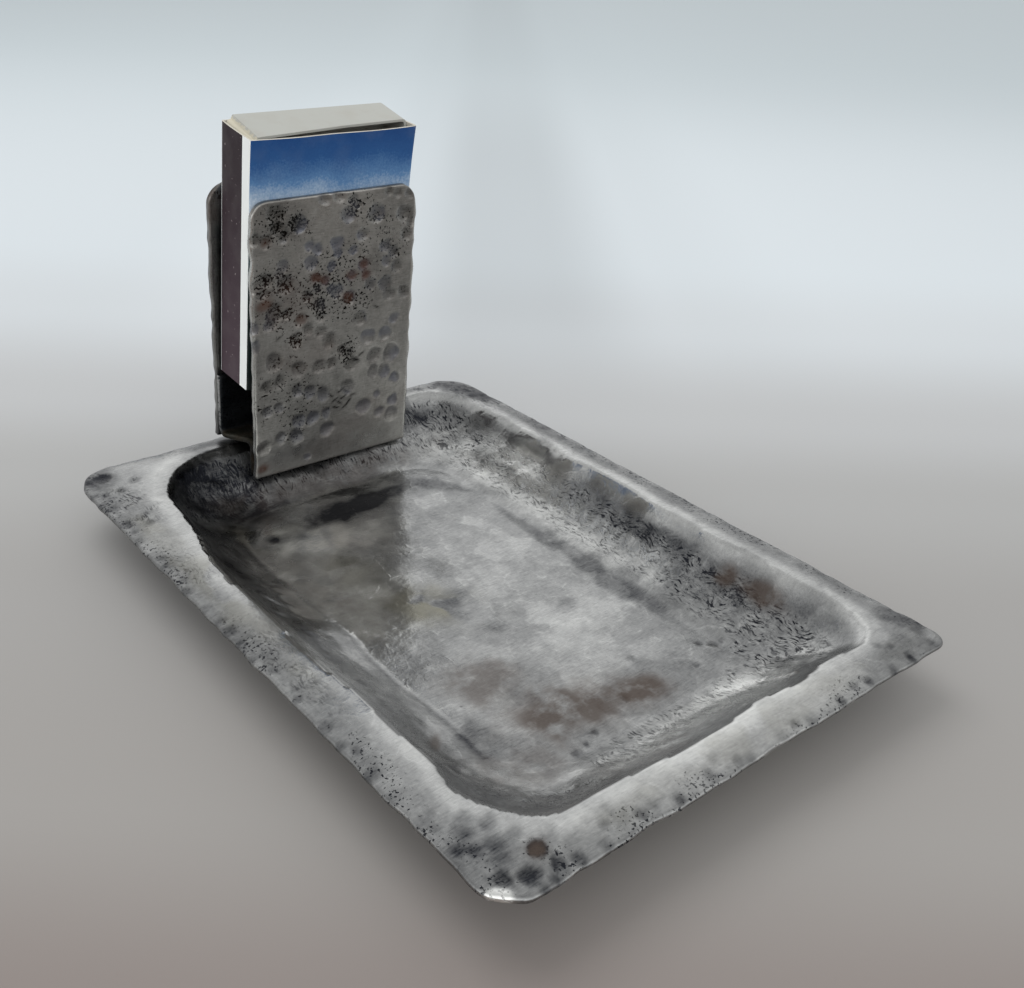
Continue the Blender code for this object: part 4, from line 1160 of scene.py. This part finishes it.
def finish_card(tree, shader, colour, grime, soiling, roughness, relief=0.02):
    """Puts the card's fibres over a colour, which may be plain or come from other nodes."""
    values = {"Color": colour, "Grime": grime, "Soiling": soiling}
    surface = add_node(tree, "ShaderNodeGroup", values, node_tree=card_fibres).outputs
    tree.links.new(surface["Color"], shader.inputs["Base Color"])
    add_relief(tree, shader, surface["Height"], relief)
    shader.inputs["Roughness"].default_value = roughness


bare_card, tree, shader = new_material("bare_card")
finish_card(tree, shader, (0.52, 0.50, 0.44, 1.0), (0.30, 0.27, 0.21, 1.0), 0.35, 0.85)

printed_card, tree, shader = new_material("printed_card")
place = add_node(tree, "ShaderNodeTexCoord", {}).outputs["Object"]
axes = add_node(tree, "ShaderNodeSeparateXYZ", {"Vector": place}).outputs
up = add_map(tree, axes["Z"], 0.0, BOX_HEIGHT * MM)
clouds = add_map(tree, add_noise(tree, place, 170.0, 4.0), 0.0, 1.0, -0.05, 0.05)
specks = add_map(tree, add_noise(tree, place, 2600.0, 3.0), 0.3, 0.7, -0.018, 0.018)
grainy = add_math(tree, "ADD", add_math(tree, "ADD", up, clouds), specks)
label = add_ramp(tree, grainy, LABEL_SKY, "LINEAR")
scuffed = add_map(tree, add_noise(tree, place, 1400.0, 2.0), 0.70, 0.76)
striker = add_mix(tree, scuffed, add_ramp(tree, up, STRIKER_SHADES), STRIKER_FLECKS)
behind = add_math(tree, "GREATER_THAN", axes["Y"], STRIKER_FRONT * MM)
before = add_math(tree, "LESS_THAN", axes["Y"], STRIKER_BACK * MM)
sides = add_mix(tree, add_math(tree, "MULTIPLY", behind, before), SIDE_WHITE, striker)
sideways = add_math(tree, "ABSOLUTE", axes["X"])
on_side = add_math(tree, "GREATER_THAN", sideways, (BOX_HALF_WIDTH - SIDE_DEPTH) * MM)
finish_card(tree, shader, add_mix(tree, on_side, label, sides), (0.45, 0.45, 0.42, 1.0), 0.05, 0.6)
shader.inputs["Specular IOR Level"].default_value = LABEL_GLOSS

outer_ring = box_ring(BOX_HALF_WIDTH, -BOX_DEPTH, 0.0, SLEEVE_FOLD)
inner_ring = box_ring(BOX_HALF_WIDTH - SLEEVE_CARD, SLEEVE_CARD - BOX_DEPTH, -SLEEVE_CARD, 0.15)
level = np.linspace(0, BOX_HEIGHT, SLEEVE_ROWS)[:, None]
surfaces = []
for ring in (outer_ring, inner_ring):
    x, y = ring[:, 0][None, :] + 0 * level, ring[:, 1][None, :] + 0 * level
    toward_front = ramped(-y, 0.8 * BOX_DEPTH, 0.99 * BOX_DEPTH)
    toward_top = ramped(level, SLEEVE_SPRING_START, BOX_HEIGHT) ** 2
    toward_right = (x + BOX_HALF_WIDTH) / (2 * BOX_HALF_WIDTH)
    toward_left = ramped(x, BOX_HALF_WIDTH, -BOX_HALF_WIDTH) ** 0.6
    spring = SLEEVE_SPRING * toward_front * toward_top * (0.45 + 0.55 * toward_right)
    height = level + SLEEVE_WAVER * soft_noise(x, y + 40, 9.0, 61) * (level / BOX_HEIGHT)
    dip = SLEEVE_DIP * toward_left * np.clip(-y / BOX_DEPTH, 0, 1)
    height -= dip * ramped(level, SLEEVE_DIP_START, BOX_HEIGHT)
    surfaces.append(np.stack((x, y - spring, height), -1))
sleeve = shell_piece("box_sleeve", surfaces[0], surfaces[1], (printed_card, bare_card))
sleeve.matrix_world = box_frame
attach(sleeve, "matchbox")
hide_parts("matchbox_sleeve")

# Drawer: grey-white card, folded up into a tray that is open to the front. Its end panel stands
# proud of the sleeve and slopes a little, and the side's folded flaps show as a cream strip.
DRAWER_HALF_WIDTH = 17.3
DRAWER_LOW = 0.3
DRAWER_HIGH = 50.9
DRAWER_BACK = -0.7
DRAWER_FRONT = -9.1
DRAWER_CARD = 0.45
DRAWER_FOLD = 0.9
DRAWER_SKEW = 1.35
DRAWER_END_START = 46.0
DRAWER_END_HEIGHT = 4.0
DRAWER_ROWS = 12
DRAWER_RING_STEPS = (6, 90, 30)
FLAP_EDGE = -16.1
FLAP_STEP = 0.75
FLAP_STEP_WIDTH = 0.3
DRAWER_GREY = (0.385, 0.392, 0.365, 1.0)
FLAP_CREAM = (0.52, 0.49, 0.39, 1.0)


def drawer_rings(inset):
    """Rings of the drawer's walls from its open side to its back, then closing over the back."""
    middle = (DRAWER_LOW + DRAWER_HIGH) / 2
    ring = box_ring(
        DRAWER_HALF_WIDTH - inset, DRAWER_LOW - middle + inset, DRAWER_HIGH - middle - inset,
        DRAWER_FOLD - 0.6 * inset, *DRAWER_RING_STEPS,
    )
    x, z = ring[:, 0], ring[:, 1] + middle
    z = z - FLAP_STEP * np.clip((FLAP_EDGE - x) / FLAP_STEP_WIDTH, 0, 1) * (z > DRAWER_HIGH - 1.5)
    toward_end = ramped(z, DRAWER_END_START, DRAWER_END_START + DRAWER_END_HEIGHT)
    front = DRAWER_FRONT - DRAWER_SKEW * toward_end * np.clip(-x / DRAWER_HALF_WIDTH, -0.2, 1)
    back = DRAWER_BACK - inset
    across = ramped(x, -DRAWER_HALF_WIDTH, DRAWER_HALF_WIDTH)
    rows = []
    for share in np.linspace(0, 1, DRAWER_ROWS):
        rise = 0.1 + 0.9 * across - (1 - share) * (1.7 - 0.5 * across)
        rows.append(np.stack((x, front + (back - front) * share, z + rise * toward_end), -1))
    z = rows[-1][:, 2]
    for share in (0.9, 0.5, 0.2):
        rows.append(np.stack((x * share, 0 * x + back, middle + (z - middle) * share), -1))
    return np.stack(rows)


drawer_card, tree, shader = new_material("drawer_card")
place = add_node(tree, "ShaderNodeTexCoord", {}).outputs["Object"]
ragged = add_map(tree, add_noise(tree, place, 1500.0, 3.0), 0.3, 0.7, -0.0002, 0.0002)
sideways = add_node(tree, "ShaderNodeSeparateXYZ", {"Vector": place}).outputs["X"]
beyond = add_math(tree, "ADD", sideways, ragged)
on_flap = add_map(tree, beyond, FLAP_EDGE * MM, (FLAP_EDGE - 0.15) * MM)
card = add_mix(tree, on_flap, DRAWER_GREY, FLAP_CREAM)
finish_card(tree, shader, card, (0.33, 0.31, 0.27, 1.0), 0.35, 0.8, 0.03)
outer, inner = drawer_rings(0.0)[:, ::-1], drawer_rings(DRAWER_CARD)[:, ::-1]
drawer = shell_piece("box_drawer", outer, inner, (drawer_card, drawer_card), closed_end=True)
drawer.matrix_world = box_frame
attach(drawer, "drawer")
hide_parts("matchbox_drawer")

# Matches: split aspen, two millimetres square, with their ends dipped. One row lies against the
# drawer's back, and what is left of a second row lies on it at the right.
MATCH_LENGTH = 43.0
SPLINT_HALF = 0.97
HEAD_HALF = 1.2
HEAD_START = 38.4
HEAD_SIZES = (0.93, 1.0)
HEAD_SHARES = (0.15, 0.32, 0.5, 0.68, 0.82, 0.92, 0.98)
HEAD_POWER = 2.3
SPLINT_POWER = 7.0
MATCH_SIDES = 16
MATCH_CREASE_ANGLE = 50
MATCH_PITCH = 2.808
FIRST_MATCH_X = 15.446
FIRST_MATCH_Y = -2.55
ROW_PITCH = 2.65
MATCH_FLOOR = 0.9
FIRST_ROW = 12
MATCH_COUNT = 18
WOOD_SHADES = ((0.3, (0.50, 0.36, 0.21)), (0.55, (0.72, 0.58, 0.40)), (0.75, (0.80, 0.68, 0.50)))
HEAD_SHADES = ((0.3, (0.10, 0.018, 0.014)), (0.7, (0.22, 0.035, 0.025)))

match_wood, tree, shader = new_material("split_aspen")
place = add_node(tree, "ShaderNodeTexCoord", {}).outputs["Object"]
height = add_node(tree, "ShaderNodeSeparateXYZ", {"Vector": place}).outputs["Z"]
ragged = add_noise(tree, place, 900.0, 2.0)
reach = add_math(tree, "ADD", height, add_map(tree, ragged, 0.3, 0.7, -0.0004, 0.0004))
dipped = add_map(tree, reach, (HEAD_START - 0.1) * MM, (HEAD_START + 0.15) * MM)
grain = add_noise(tree, place, 1.0, 4.0, (2600.0, 2600.0, 90.0))
colour = add_mix(tree, dipped, add_ramp(tree, grain, WOOD_SHADES), add_ramp(tree, ragged, HEAD_SHADES))
tree.links.new(colour, shader.inputs["Base Color"])
add_relief(tree, shader, add_math(tree, "ADD", grain, ragged), 0.04)
shader.inputs["Roughness"].default_value = 0.75


def match_points(number):
    """Rings of one match: a square splint with softened edges that runs into its dipped head."""
    random = np.random.default_rng(100 + number)
    angles = np.linspace(0, 2 * math.pi, MATCH_SIDES, endpoint=False) + math.pi / MATCH_SIDES
    head_half = HEAD_HALF * random.uniform(*HEAD_SIZES)
    levels = [(0.0, SPLINT_HALF * 0.96, SPLINT_POWER)]
    levels += [(z, SPLINT_HALF, SPLINT_POWER) for z in (0.1, 12.0, 25.0)]
    levels += [(37.8, SPLINT_HALF, 6.0), (HEAD_START, SPLINT_HALF * 1.02, 4.5)]
    for share in HEAD_SHARES:
        half = head_half * math.sqrt(max(0.0, 1 - (2 * share - 1) ** 2) ** 0.8)
        half = max(half, SPLINT_HALF * 1.02) if share < 0.5 else half
        levels.append((HEAD_START + share * (MATCH_LENGTH - HEAD_START), half, HEAD_POWER))
    rings = []
    for z, half, power in levels:
        size = half / (np.abs(np.cos(angles)) ** power + np.abs(np.sin(angles)) ** power) ** (1 / power)
        rings.append(np.stack((size * np.cos(angles), size * np.sin(angles), 0 * angles + z), -1))
    return np.stack(rings)


for number in range(MATCH_COUNT):
    rings = match_points(number)
    rows, columns = rings.shape[:2]
    ends = [list(range(columns))[::-1], list(range((rows - 1) * columns, rows * columns))]
    faces = tube_faces(rows, columns).tolist() + ends
    match = new_piece(f"split_match_{number + 1:02d}", rings.reshape(-1, 3), faces, match_wood)
    match.data.set_sharp_from_angle(angle=math.radians(MATCH_CREASE_ANGLE))
    row, column = divmod(number, FIRST_ROW)
    place = Vector((FIRST_MATCH_X - MATCH_PITCH * column, FIRST_MATCH_Y - ROW_PITCH * row, MATCH_FLOOR))
    match.matrix_world = box_frame @ Matrix.Translation(place * MM)
    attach(match, "drawer")
    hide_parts(f"match_{number + 1:02d}")
